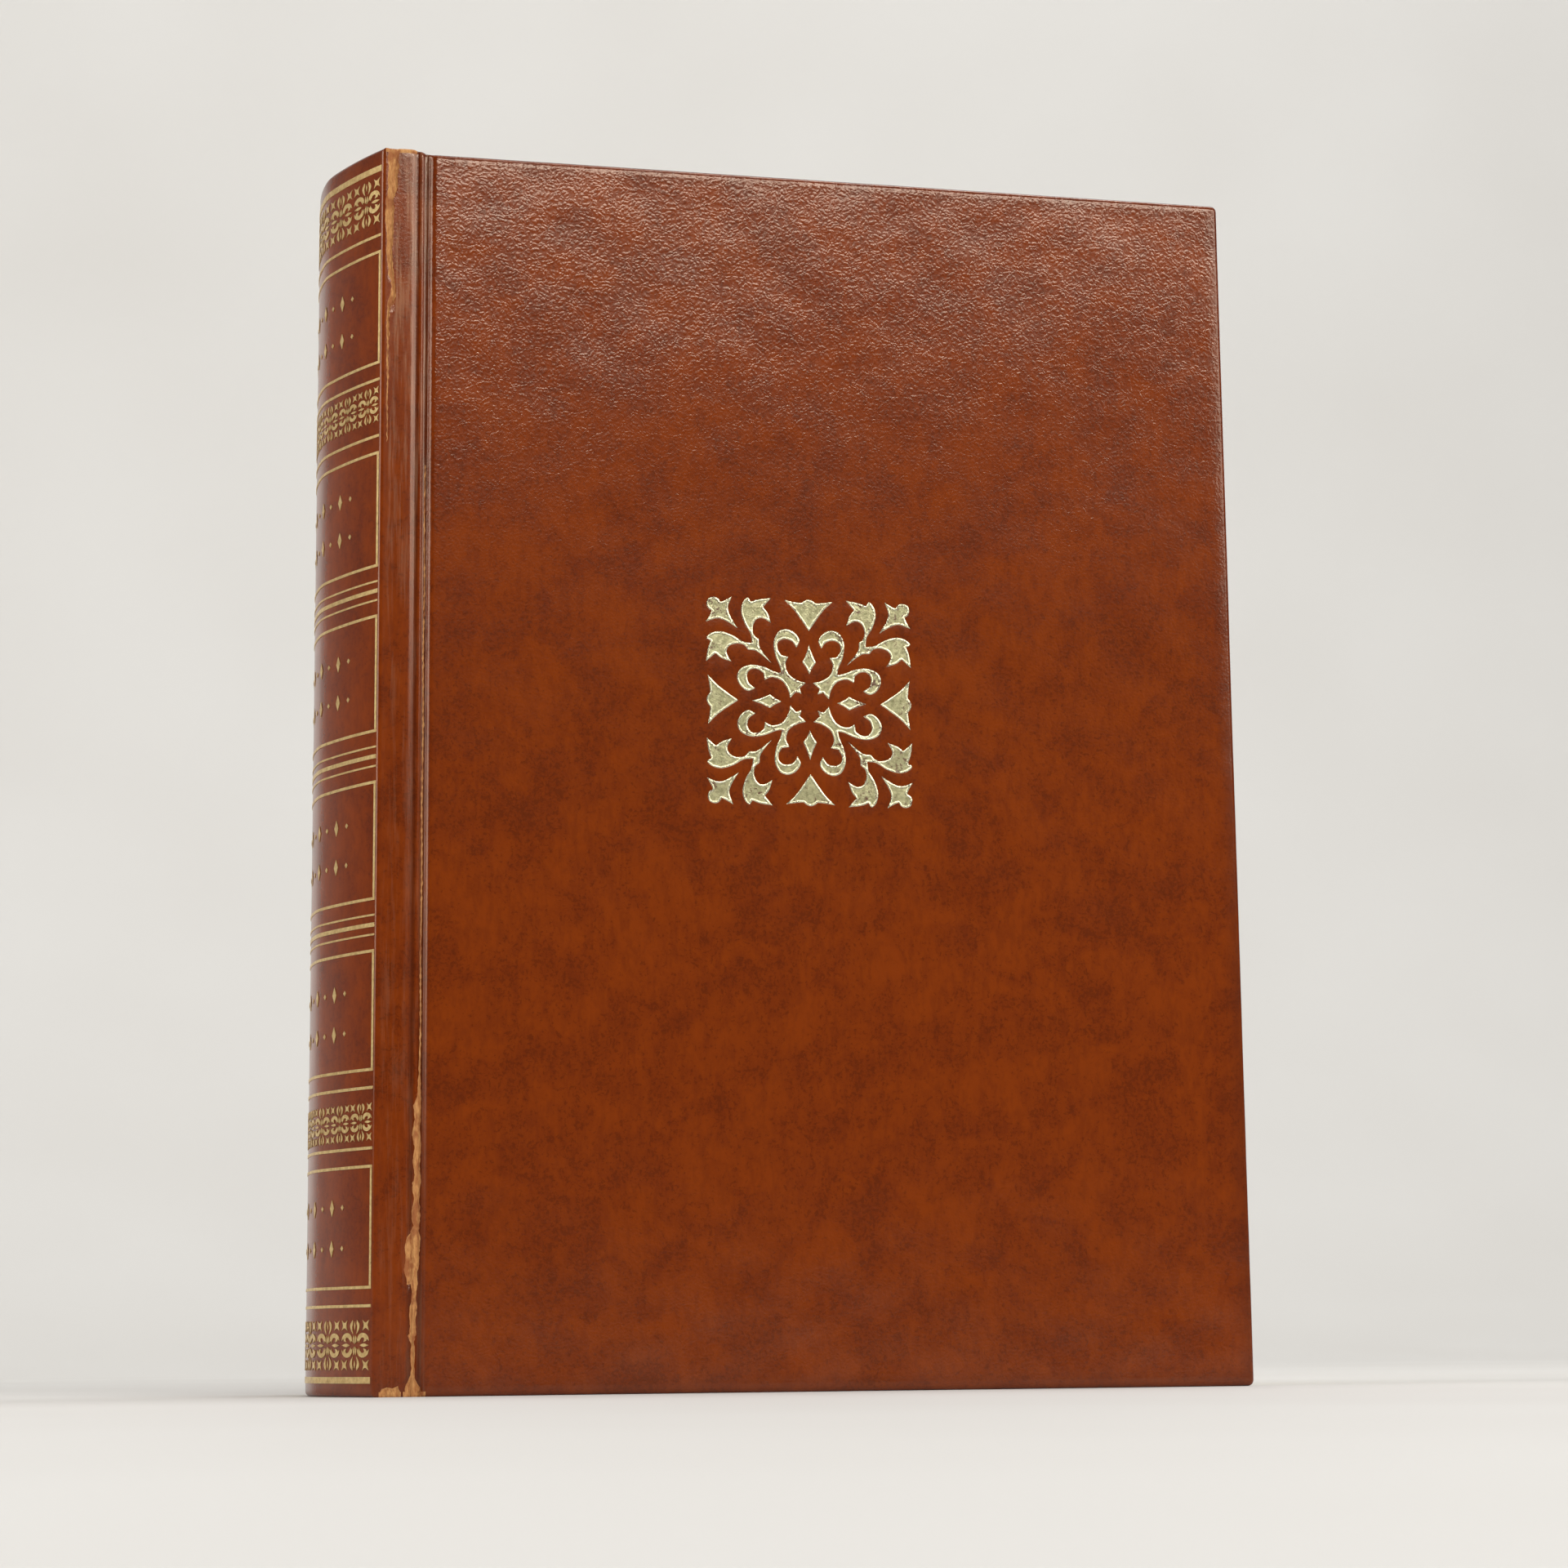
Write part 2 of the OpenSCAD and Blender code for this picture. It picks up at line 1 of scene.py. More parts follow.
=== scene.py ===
import math

import bpy
import numpy as np
from mathutils import Matrix, Vector
from mathutils.geometry import delaunay_2d_cdt


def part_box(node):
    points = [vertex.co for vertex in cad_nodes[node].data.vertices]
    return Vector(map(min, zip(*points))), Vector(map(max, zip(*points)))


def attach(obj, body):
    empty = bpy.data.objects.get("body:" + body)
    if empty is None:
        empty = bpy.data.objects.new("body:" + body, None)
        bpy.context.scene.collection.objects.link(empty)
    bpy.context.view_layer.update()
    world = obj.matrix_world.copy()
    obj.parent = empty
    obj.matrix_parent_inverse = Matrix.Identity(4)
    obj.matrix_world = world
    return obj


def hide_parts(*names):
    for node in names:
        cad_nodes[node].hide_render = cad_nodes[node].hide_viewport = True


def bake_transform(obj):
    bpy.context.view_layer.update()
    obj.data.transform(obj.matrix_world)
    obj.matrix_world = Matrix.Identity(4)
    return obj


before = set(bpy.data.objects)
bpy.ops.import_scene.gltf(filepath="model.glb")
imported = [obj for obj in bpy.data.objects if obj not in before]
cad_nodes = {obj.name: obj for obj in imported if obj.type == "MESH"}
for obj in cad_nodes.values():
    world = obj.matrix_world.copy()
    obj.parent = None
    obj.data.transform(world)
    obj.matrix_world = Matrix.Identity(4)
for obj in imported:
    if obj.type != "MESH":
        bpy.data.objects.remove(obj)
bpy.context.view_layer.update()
# Lengths are in millimetres, and MM turns them into metres where Blender takes them
MM = 0.001


# Text block: sections of cream paper, sewn, glued, rounded and backed. The trimmed edges are smooth at head
# and tail and hollow at the fore-edge, and the leaves bend outward to the shoulders at the spine. Geometry
# Nodes repeat one thin slab, a few leaves thick, along the arch of the back.
HALF_T = 24.0
BOOK_H = 200.0
CAP_RISE, CAP_FROM = 0.8, 180.0
GROOVE_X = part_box("front_flyleaf")[0].x / MM
FORE_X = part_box("front_cover_leather")[1].x / MM
CROWN_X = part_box("spine_leather")[0].x / MM
JOINT_W = 7.1
RIDGE_X = GROOVE_X - JOINT_W
HINGE_X = RIDGE_X + 1.1
JOINT_SINK = 0.6
RIDGE_R = 0.9
# The spine's arch from the crown over the knee and the side to the ridge: radii, and the slopes between them
CROWN_R, KNEE_R = 48.0, 17.0
CROWN_A, KNEE_A, SIDE_A = (math.radians(a) for a in (6, 20, 31))
SIDE_R = (
    HALF_T
    - JOINT_SINK
    - CROWN_R * math.sin(CROWN_A)
    - KNEE_R * (math.sin(KNEE_A) - math.sin(CROWN_A))
    - RIDGE_R * (1 - math.sin(SIDE_A))
) / (math.sin(SIDE_A) - math.sin(KNEE_A))


def outward(h):
    """Direction out of the spine's arch at slope h, on the front cover's side."""
    return np.stack([-np.cos(h), -np.sin(h)], -1)


def arch_pieces():
    """Centre, radius, first and last slope of each arc of the spine, from the crown to the ridge."""
    centre = np.array([CROWN_X + CROWN_R, 0.0])
    pieces = [(centre, CROWN_R, 0.0, CROWN_A)]
    later = ((KNEE_R, CROWN_A, KNEE_A), (SIDE_R, KNEE_A, SIDE_A), (RIDGE_R, SIDE_A, math.pi / 2))
    for radius, low, high in later:
        centre = centre + (pieces[-1][1] - radius) * outward(low)
        pieces.append((centre, radius, low, high))
    return pieces


ARCH = arch_pieces()
ARCH_S = sum(radius * (high - low) for _, radius, low, high in ARCH)
GILT_S = ARCH_S - RIDGE_R * (math.pi / 2 - SIDE_A)


def on_arch(s):
    """Points and outward directions at lengths s from the crown; negative lengths are on the back's side."""
    s = np.asarray(s, float)
    side = np.where(s < 0, -1.0, 1.0)
    rest = np.abs(s)
    point = np.zeros(s.shape + (2,))
    way = np.zeros(s.shape + (2,))
    done = np.zeros(s.shape, bool)
    for index, (centre, radius, low, high) in enumerate(ARCH):
        length = radius * (high - low)
        here = ~done & ((rest <= length) | (index == len(ARCH) - 1))
        way[here] = outward(low + rest[here] / radius)
        point[here] = centre + radius * way[here]
        done |= here
        rest = rest - length
    point[..., 1] *= side
    way[..., 1] *= side
    return point, way


def new_tree(name, kind, inputs=(), outputs=()):
    """A node group with named sockets: (name, kind, value) in, (name, kind) out."""
    tree = bpy.data.node_groups.new(name, kind)
    for label, socket, value in inputs:
        made = tree.interface.new_socket(label, in_out="INPUT", socket_type="NodeSocket" + socket)
        if value is not None:
            made.default_value = value
    for label, socket in outputs:
        tree.interface.new_socket(label, in_out="OUTPUT", socket_type="NodeSocket" + socket)
    return tree, tree.nodes.new("NodeGroupInput").outputs, tree.nodes.new("NodeGroupOutput")


def feed(tree, node, links):
    """Feeds a node's inputs with values, sockets, or other nodes, which stand for their first output."""
    for key, value in links.items():
        if isinstance(value, bpy.types.Node):
            value = value.outputs[0]
        if isinstance(value, bpy.types.NodeSocket):
            tree.links.new(value, node.inputs[key])
        else:
            node.inputs[key].default_value = value


def put(tree, kind, links=None, **settings):
    """Adds a node: settings are its properties, and links feed its inputs."""
    made = tree.nodes.new(kind)
    for key, value in settings.items():
        setattr(made, key, value)
    feed(tree, made, links or {})
    return made


def maths(tree, operation, *values, clamp=False):
    """One step of arithmetic on values or sockets."""
    made = put(tree, "ShaderNodeMath", dict(enumerate(values)), operation=operation, use_clamp=clamp)
    return made.outputs[0]


def blend_colour(tree, factor, low, high):
    """The colour low where the factor is 0 and high where it is 1."""
    made = put(tree, "ShaderNodeMix", {0: factor, 6: low, 7: high}, data_type="RGBA")
    return made.outputs[2]


def overlaid(tree, colour, *layers):
    """A colour with more colours over it in turn, each given as (mask, share of the mask, colour)."""
    for mask, share, over in layers:
        colour = blend_colour(tree, maths(tree, "MULTIPLY", mask, share), colour, over)
    return colour


def spread(tree, value, low, high, start=0.0, end=1.0, curve="LINEAR"):
    """Maps a value from low..high to start..end."""
    made = put(tree, "ShaderNodeMapRange", {
        "Value": value, "From Min": low, "From Max": high, "To Min": start, "To Max": end,
    }, interpolation_type=curve)
    return made.outputs["Result"]


def ramp(tree, value, low, high):
    """Rises softly from 0 at low to 1 at high."""
    return spread(tree, value, low, high, curve="SMOOTHSTEP")


def vectors(tree, operation, *values, **more):
    """One step of arithmetic on vectors."""
    links = {**dict(enumerate(values)), **more}
    return put(tree, "ShaderNodeVectorMath", links, operation=operation).outputs[0]


def split(tree, vector):
    """The sockets X, Y and Z of a vector."""
    return put(tree, "ShaderNodeSeparateXYZ", {0: vector}).outputs


def noise(tree, place, scale, detail, roughness=0.5, distortion=0.0, output="Fac"):
    """Fractal noise at a place, with about scale features per unit."""
    return put(tree, "ShaderNodeTexNoise", {
        "Vector": place, "Scale": scale, "Detail": detail, "Roughness": roughness, "Distortion": distortion,
    }).outputs[output]


def emboss(tree, shader, height, distance, strength):
    """Gives a shader the relief of a height."""
    bump = put(tree, "ShaderNodeBump", {"Height": height, "Distance": distance, "Strength": strength})
    feed(tree, shader, {"Normal": bump})


def material(name, **sockets):
    """A material with its Principled shader; returns its tree, its shader and its object coordinates."""
    made = bpy.data.materials.new(name)
    made.use_nodes = True
    tree = made.node_tree
    shader = tree.nodes["Principled BSDF"]
    for key, value in sockets.items():
        shader.inputs[key.replace("_", " ")].default_value = value
    where = tree.nodes.new("ShaderNodeTexCoord").outputs["Object"]
    return made, tree, shader, where


def srgb(r, g, b):
    """Linear colour from 0-255 screen values."""
    parts = [((c / 255 + 0.055) / 1.055) ** 2.4 if c > 10 else c / 255 / 12.92 for c in (r, g, b)]
    return (*parts, 1.0)


PAGE_DEPTH, PAGE_HALF, SHOULDER_HALF = 2.52, 19.48, 21.7
PAGE_X, HOLLOW, SQUARE = FORE_X - 3.0, 4.5, 3.0
SHOULDER_X, BEND_X = GROOVE_X - 4.6, GROOVE_X - 0.6
SLABS, SLAB_FILL = 200, 0.9


def in_scene(name, data):
    """A new object at the origin, linked into the scene."""
    made = bpy.data.objects.new(name, data)
    bpy.context.scene.collection.objects.link(made)
    return made


def line_object(name, points):
    """A poly curve object through points in millimetres, used only by a node tree and removed after it."""
    curve = bpy.data.curves.new(name, "CURVE")
    curve.dimensions = "3D"
    spline = curve.splines.new("POLY")
    spline.points.add(len(points) - 1)
    for point, place in zip(spline.points, points):
        point.co = (place[0] * MM, place[1] * MM, 0, 1)
    return in_scene(name, curve)


def run_nodes(points, faces, tree, **values):
    """Runs a node tree once on a mesh of points in metres and gives the result as a plain mesh."""
    start = bpy.data.meshes.new("start")
    start.from_pydata(points, [], faces)
    carrier = in_scene("start", start)
    modifier = carrier.modifiers.new("nodes", "NODES")
    modifier.node_group = tree
    for item in tree.interface.items_tree:
        key = item.name.replace(" ", "_")
        if getattr(item, "in_out", "") == "INPUT" and key in values:
            modifier[item.identifier] = values[key]
    bpy.context.view_layer.update()
    depsgraph = bpy.context.evaluated_depsgraph_get()
    made = bpy.data.meshes.new_from_object(carrier.evaluated_get(depsgraph), depsgraph=depsgraph)
    bpy.data.objects.remove(carrier)
    return made


def mesh_on(name, meshes):
    """One object from plain meshes with the same material."""
    points, faces, start = [], [], 0
    for mesh in meshes:
        points += [tuple(v.co) for v in mesh.vertices]
        faces += [[start + i for i in p.vertices] for p in mesh.polygons]
        start += len(mesh.vertices)
    joined = bpy.data.meshes.new(name)
    joined.from_pydata(points, [], faces)
    joined.materials.append(meshes[0].materials[-1])
    return in_scene(name, joined)


def unit_box(cuts):
    """A closed box of length 1 in x, cut at the given places, from -0.5 to 0.5 in y and 0 to 1 in z."""
    points = [(x, y, z) for x in cuts for y, z in ((-0.5, 0), (0.5, 0), (0.5, 1), (-0.5, 1))]
    faces = [(0, 3, 2, 1), tuple(4 * len(cuts) - 4 + k for k in range(4))]
    for i in range(len(cuts) - 1):
        for k in range(4):
            a, b = 4 * i + k, 4 * i + (k + 1) % 4
            faces.append((a, b, b + 4, a + 4))
    return points, faces


def leaves_tree(paper):
    """Repeats the slab: y counts the leaves, and x runs from the back line over the bend to the edge line."""
    tree, given, out = new_tree(
        "page_leaves", "GeometryNodeTree",
        (("Leaf", "Geometry", None), ("Back Line", "Object", None),
         ("Edge Line", "Object", None), ("Count", "Int", 200),
         ("Bend X", "Float", 0.0), ("Shoulder X", "Float", 0.0),
         ("Thickness", "Float", 0.0002), ("Low", "Float", 0.0),
         ("High", "Float", 0.2), ("Unevenness", "Float", 0.0001),
         ("Seed", "Int", 7)),
        (("Geometry", "Geometry"),))
    row = put(tree, "GeometryNodeMeshLine", {"Count": given["Count"], "Offset": (0, 1, 0)}, mode="OFFSET")
    stack = put(tree, "GeometryNodeInstanceOnPoints", {"Points": row, "Instance": given["Leaf"]})
    real = put(tree, "GeometryNodeRealizeInstances", {0: stack})
    place = split(tree, put(tree, "GeometryNodeInputPosition"))
    index = maths(tree, "ROUND", place["Y"])
    side = maths(tree, "SUBTRACT", place["Y"], index)
    share = maths(tree, "DIVIDE", index, maths(tree, "SUBTRACT", given["Count"], 1.0))
    ends = []
    for label in ("Back Line", "Edge Line"):
        line = put(tree, "GeometryNodeObjectInfo", {"Object": given[label]}).outputs["Geometry"]
        sample = put(tree, "GeometryNodeSampleCurve", {"Curves": line, "Factor": share}, mode="FACTOR")
        ends.append(split(tree, sample.outputs["Position"]))
    chance = []
    for step in range(3):
        seed = maths(tree, "ADD", given["Seed"], float(step))
        drawn = put(tree, "FunctionNodeRandomValue", {"Min": -1.0, "Max": 1.0, "ID": index, "Seed": seed},
                    data_type="FLOAT")
        chance.append(drawn.outputs["Value"])
    rough = [maths(tree, "MULTIPLY", value, given["Unevenness"]) for value in chance]
    first = spread(tree, place["X"], 0.0, 0.5, ends[0]["X"], given["Bend X"])
    edge_x = maths(tree, "MULTIPLY_ADD", rough[0], 1.5, ends[1]["X"])
    second = spread(tree, place["X"], 0.5, 1.0, 0.0, maths(tree, "SUBTRACT", edge_x, given["Bend X"]))
    x = maths(tree, "ADD", first, second)
    bend = ramp(tree, x, given["Shoulder X"], given["Bend X"])
    middle = spread(tree, bend, 0.0, 1.0, ends[0]["Y"], ends[1]["Y"])
    y = maths(tree, "MULTIPLY_ADD", side, given["Thickness"], middle)
    low, high = (maths(tree, "ADD", given[label], rough[k]) for label, k in (("Low", 1), ("High", 2)))
    z = spread(tree, place["Z"], 0.0, 1.0, low, high)
    shaped = put(tree, "ShaderNodeCombineXYZ", {"X": x, "Y": y, "Z": z})
    moved = put(tree, "GeometryNodeSetPosition", {"Geometry": real, "Position": shaped})
    coated = put(tree, "GeometryNodeSetMaterial", {"Geometry": moved, "Material": paper})
    feed(tree, out, {"Geometry": coated})
    return tree


def paper_fibre_group():
    """Shared look of paper: fibre height, cloudy tone, foxing spots, and the lines of leaf edges across y."""
    tree, given, out = new_tree(
        "paper_fibre", "ShaderNodeTree",
        (("Vector", "Vector", None), ("Fibre Size", "Float", 0.4)),
        (("Height", "Float"), ("Tone", "Float"), ("Spots", "Float"),
         ("Lines", "Float")))
    place = vectors(tree, "MULTIPLY", given["Vector"], (1000, 1000, 1000))
    scale = maths(tree, "DIVIDE", 1.0, given["Fibre Size"])
    feed(tree, out, {"Height": noise(tree, place, scale, 5.0, 0.65, 0.7)})
    cloud = noise(tree, place, 0.05, 5.0)
    feed(tree, out, {"Tone": ramp(tree, cloud, 0.3, 0.7)})
    spots = noise(tree, place, 0.3, 3.0, 0.6)
    feed(tree, out, {"Spots": ramp(tree, spots, 0.7, 0.78)})
    thin = vectors(tree, "MULTIPLY", place, (0.03, 5.0, 0.03))
    lines = noise(tree, thin, 1.0, 3.0, 0.7)
    feed(tree, out, {"Lines": ramp(tree, lines, 0.35, 0.65)})
    return tree


paper_fibre = paper_fibre_group()


def paper_material(name, pale, aged, lined, rough):
    """A paper material: fibres and foxing, with leaf lines where a stack of edges shows."""
    made, tree, shader, where = material(name, Roughness=rough)
    sheet = put(tree, "ShaderNodeGroup", {"Vector": where, "Fibre Size": 0.35}, node_tree=paper_fibre)
    colour = blend_colour(tree, sheet.outputs["Tone"], pale, aged)
    colour = overlaid(
        tree, colour, (sheet.outputs["Lines"], 0.55 * lined, srgb(158, 132, 94)),
        (sheet.outputs["Spots"], 0.4, srgb(176, 136, 88)))
    feed(tree, shader, {"Base Color": colour})
    height = maths(tree, "MULTIPLY_ADD", sheet.outputs["Lines"], lined, sheet.outputs["Height"])
    emboss(tree, shader, height, 0.00004, 0.7)
    return made


page_paper = paper_material("page_paper", srgb(232, 219, 190), srgb(214, 196, 158), 1.0, 0.78)
leaf_y = np.linspace(-SHOULDER_HALF, SHOULDER_HALF, SLABS)
back_point, back_way = on_arch(np.linspace(-ARCH_S, ARCH_S, 600))
back_line = back_point - back_way * PAGE_DEPTH
order = np.argsort(back_line[:, 1])
back_x = np.interp(leaf_y, back_line[order, 1], back_line[order, 0])
fore_y = leaf_y * (PAGE_HALF - 0.1) / SHOULDER_HALF
hollow_r = (PAGE_HALF**2 + HOLLOW**2) / (2 * HOLLOW)
fore_x = PAGE_X - np.sqrt(hollow_r**2 - fore_y**2) + hollow_r - HOLLOW
back_object = line_object("back_line", np.stack([back_x, leaf_y], 1))
edge_object = line_object("edge_line", np.stack([fore_x, fore_y], 1))
slab_points, slab_faces = unit_box([0, 0.1, 0.2, 0.28, 0.36, 0.43, 0.5, 0.75, 1.0])
leaves = run_nodes(
    slab_points, slab_faces, leaves_tree(page_paper), Back_Line=back_object, Edge_Line=edge_object,
    Count=SLABS, Bend_X=BEND_X * MM, Shoulder_X=SHOULDER_X * MM,
    Thickness=2 * PAGE_HALF / SLABS * SLAB_FILL * MM, Low=SQUARE * MM, High=(BOOK_H - SQUARE) * MM,
    Unevenness=0.06 * MM, Seed=7)
for helper in (back_object, edge_object):
    bpy.data.objects.remove(helper)
page_leaves = mesh_on("page_leaves", [leaves])
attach(page_leaves, "block")
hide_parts("text_block")


# Mull and spine lining: open cotton cloth glued over the backed sections, reaching onto both boards, and a
# strip of brown paper over it. The closed book hides both, and they stay as they are in the solid part.
def plain_cloth(name, pale, deep, thread):
    """Open plain weave: warp and weft threads from two wave patterns."""
    made, tree, shader, where = material(name, Roughness=0.9)
    place = vectors(tree, "MULTIPLY", where, (1000, 1000, 1000))
    x, y, z = split(tree, place)
    wefts, warps = (
        maths(tree, "SINE", maths(tree, "MULTIPLY", run, 2 * math.pi / thread))
        for run in (maths(tree, "ADD", x, y), z))
    weave = maths(tree, "MAXIMUM", wefts, warps)
    feed(tree, shader, {"Base Color": blend_colour(tree, ramp(tree, weave, -0.2, 0.8), deep, pale)})
    emboss(tree, shader, weave, 0.0001, 0.8)
    return made


def coat(node_names, used_material):
    """Gives nodes of the solid part a material of the scene."""
    for node_name in node_names:
        node_mesh = cad_nodes[node_name].data
        node_mesh.materials.clear()
        node_mesh.materials.append(used_material)


mull_cloth = plain_cloth("mull_cloth", srgb(222, 212, 190), srgb(150, 136, 108), 0.9)
coat(("mull", "front_mull_flange", "back_mull_flange"), mull_cloth)
coat(("spine_liner",), paper_material("liner_paper", srgb(176, 142, 100), srgb(156, 122, 84), 0.0, 0.85))


# Head and tail bands: silk threads in two colours, wrapped round a cord and glued to the ends of the spine.
# Geometry Nodes set thread after thread along the arch, every few turns in the other colour.
BAND_LOW_D, BAND_T, BAND_ROLL = PAGE_DEPTH - 0.2, 1.6, 2.0
THREADS, STRIPE, RING_SIDES = 84, 4, 12


def threads_tree(pale, dark):
    """Sets one thread ring on each step of the arch line, turned square to it, in stripes of two colours."""
    tree, given, out = new_tree(
        "band_threads", "GeometryNodeTree",
        (("Ring", "Geometry", None), ("Arch Line", "Object", None),
         ("Count", "Int", 84), ("Stripe", "Int", 4), ("Height", "Float", 0.0)),
        (("Geometry", "Geometry"),))
    line = put(tree, "GeometryNodeObjectInfo", {"Object": given["Arch Line"]}).outputs["Geometry"]
    row = put(tree, "GeometryNodeResampleCurve", {"Curve": line, "Count": given["Count"]})
    points = put(tree, "GeometryNodeCurveToPoints", {"Curve": row}, mode="EVALUATED")
    lift = put(tree, "ShaderNodeCombineXYZ", {"Z": given["Height"]})
    moved = put(tree, "GeometryNodeSetPosition", {"Geometry": points.outputs["Points"], "Offset": lift})
    index = put(tree, "GeometryNodeInputIndex")
    stripe = maths(tree, "FLOOR", maths(tree, "DIVIDE", index, given["Stripe"]))
    odd = maths(tree, "MODULO", stripe, 2.0)
    made = put(tree, "GeometryNodeJoinGeometry")
    for thread, wanted in ((pale, 0.0), (dark, 1.0)):
        chosen = put(tree, "FunctionNodeCompare", {"A": odd, "B": wanted, "Epsilon": 0.1},
                     data_type="FLOAT", operation="EQUAL")
        coloured = put(tree, "GeometryNodeSetMaterial", {"Geometry": given["Ring"], "Material": thread})
        rings = put(tree, "GeometryNodeInstanceOnPoints", {
            "Points": moved, "Selection": chosen, "Instance": coloured,
            "Rotation": points.outputs["Rotation"]})
        feed(tree, made, {"Geometry": rings})
    real = put(tree, "GeometryNodeRealizeInstances", {0: made})
    feed(tree, out, {"Geometry": real})
    return tree


def silk_thread(name, colour, shade):
    """Silk: fine twisted strands and a soft sheen."""
    made, tree, shader, where = material(name, Sheen_Weight=0.25, Roughness=0.45)
    strands = noise(tree, where, 5200.0, 3.0)
    tone = blend_colour(tree, ramp(tree, strands, 0.35, 0.65), shade, colour)
    feed(tree, shader, {"Base Color": tone})
    emboss(tree, shader, strands, 0.00005, 0.6)
    return made


band_a = KNEE_A + 0.8 * (SIDE_A - KNEE_A)
band_s = sum(radius * (min(high, band_a) - low) for _, radius, low, high in ARCH if low < band_a)
band_point, band_way = on_arch(np.linspace(-band_s, band_s, 200))
band_object = line_object("band_line", band_point - band_way * (BAND_LOW_D + BAND_T / 2))
turns = np.arange(RING_SIDES) / RING_SIDES * 2 * math.pi
pitch_mm = 2 * band_s / THREADS
ring_points = []
for turn in turns:
    for side, width in ((-0.5, 0.86), (-0.2, 1.0), (0.2, 1.0), (0.5, 0.86)):
        ring_points.append(tuple(MM * v for v in (
            math.cos(turn) * BAND_T / 2 * width, math.sin(turn) * BAND_ROLL / 2 * width, side * pitch_mm)))
ring_faces = []
for i in range(RING_SIDES):
    j = (i + 1) % RING_SIDES
    for k in range(3):
        ring_faces.append((4 * i + k, 4 * j + k, 4 * j + k + 1, 4 * i + k + 1))
ring_faces += [tuple(4 * i for i in reversed(range(RING_SIDES))), tuple(4 * i + 3 for i in range(RING_SIDES))]
band_threads = threads_tree(silk_thread("silk_pale", srgb(226, 208, 170), srgb(190, 166, 122)),
                            silk_thread("silk_brown", srgb(132, 62, 34), srgb(96, 42, 22)))
band_off = SQUARE - 0.02 - BAND_ROLL / 2
for band_name, height in (("head_band", BOOK_H - band_off), ("tail_band", band_off)):
    wrapped = run_nodes(ring_points, ring_faces, band_threads, Arch_Line=band_object, Count=THREADS,
                        Stripe=STRIPE, Height=height * MM)
    band = in_scene(band_name + "_silk", wrapped)
    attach(band, "block")
    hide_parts(band_name)
bpy.data.objects.remove(band_object)


# Boards, spine inlay, pastedowns and flyleaves: grey-brown pressed board, a thin shaped card, and cream
# endpapers. They are kept as they are in the solid part.
def pulp_board(name, pale, deep):
    """Pressed board: coarse pulp fibres and flecks."""
    made, tree, shader, where = material(name, Roughness=0.92)
    pulp = noise(tree, where, 1800.0, 5.0, 0.7)
    feed(tree, shader, {"Base Color": blend_colour(tree, ramp(tree, pulp, 0.3, 0.7), deep, pale)})
    emboss(tree, shader, pulp, 0.0001, 0.7)
    return made


pressed_board = pulp_board("pressed_board", srgb(166, 150, 128), srgb(118, 102, 84))
coat(("front_board", "back_board", "spine_inlay"), pressed_board)
endpaper = paper_material("endpaper", srgb(228, 217, 192), srgb(221, 208, 181), 0.0, 0.8)
coat(("front_pastedown", "back_pastedown", "front_flyleaf", "back_flyleaf"), endpaper)


# Leather of spine, front joint and front cover: one goat-grained skin, pasted over the spine card and the
# board and turned in at head, tail and fore-edge. It is cut as one sheet on the developed section, so the
# grain runs on over the joint, where the grain layer is torn off down to the ochre flesh side.
EDGE_ROLL = 0.8
TURN_IN = 7.0
BOARD_CORNER = 1.0
# Depth of the joint below the board's face, by the distance from the groove
JOINT_LINE = np.array([
    (-7.1, 0.60), (-6.5, 0.66), (-5.6, 0.74), (-4.8, 0.66), (-4.0, 0.58), (-3.1, 0.58), (-2.6, 0.70),
    (-2.2, 0.93), (-1.8, 0.95), (-1.45, 0.66), (-1.2, 0.62), (-0.95, 0.86), (-0.55, 1.02), (-0.2, 0.92),
    (0.15, 0.45), (0.5, 0.13), (1.0, 0.02), (1.6, 0.0)])
fine_x = np.arange(-9.0, 3.0, 0.02)
kernel = np.exp(-0.5 * (np.arange(-20, 21) * 0.02 / 0.11) ** 2)
fine_depth = np.convolve(np.interp(fine_x, *JOINT_LINE.T), kernel / kernel.sum(), "same")


def joint_depth(x):
    """Depth below the board's face at x, in the joint and beside it."""
    inner = np.interp(x - GROOVE_X, fine_x[25:-25], fine_depth[25:-25])
    return np.where(x < RIDGE_X, JOINT_SINK, np.where(x > GROOVE_X + 1.9, 0.0, inner))


def on_skin(a, z):
    """Surface points and inward directions of the skin at developed length a from the crown and height z."""
    a = np.asarray(a, float)
    point, way = on_arch(np.clip(a, -ARCH_S, ARCH_S))
    x = RIDGE_X + (a - ARCH_S)
    flat = a > ARCH_S
    place = np.empty(a.shape + (3,))
    place[..., 0] = np.where(flat, x, point[..., 0])
    place[..., 1] = np.where(flat, -HALF_T + joint_depth(x), point[..., 1])
    cap = CAP_RISE * np.clip(1 - (x - GROOVE_X + 2.5) / 3.0, 0, 1)
    place[..., 2] = z + cap * np.clip((z - CAP_FROM) / (BOOK_H - EDGE_ROLL - CAP_FROM), 0, 1)
    inward = np.zeros(a.shape + (3,))
    inward[..., 0] = np.where(flat, 0.0, -way[..., 0])
    inward[..., 1] = np.where(flat, 1.0, -way[..., 1])
    return place, inward


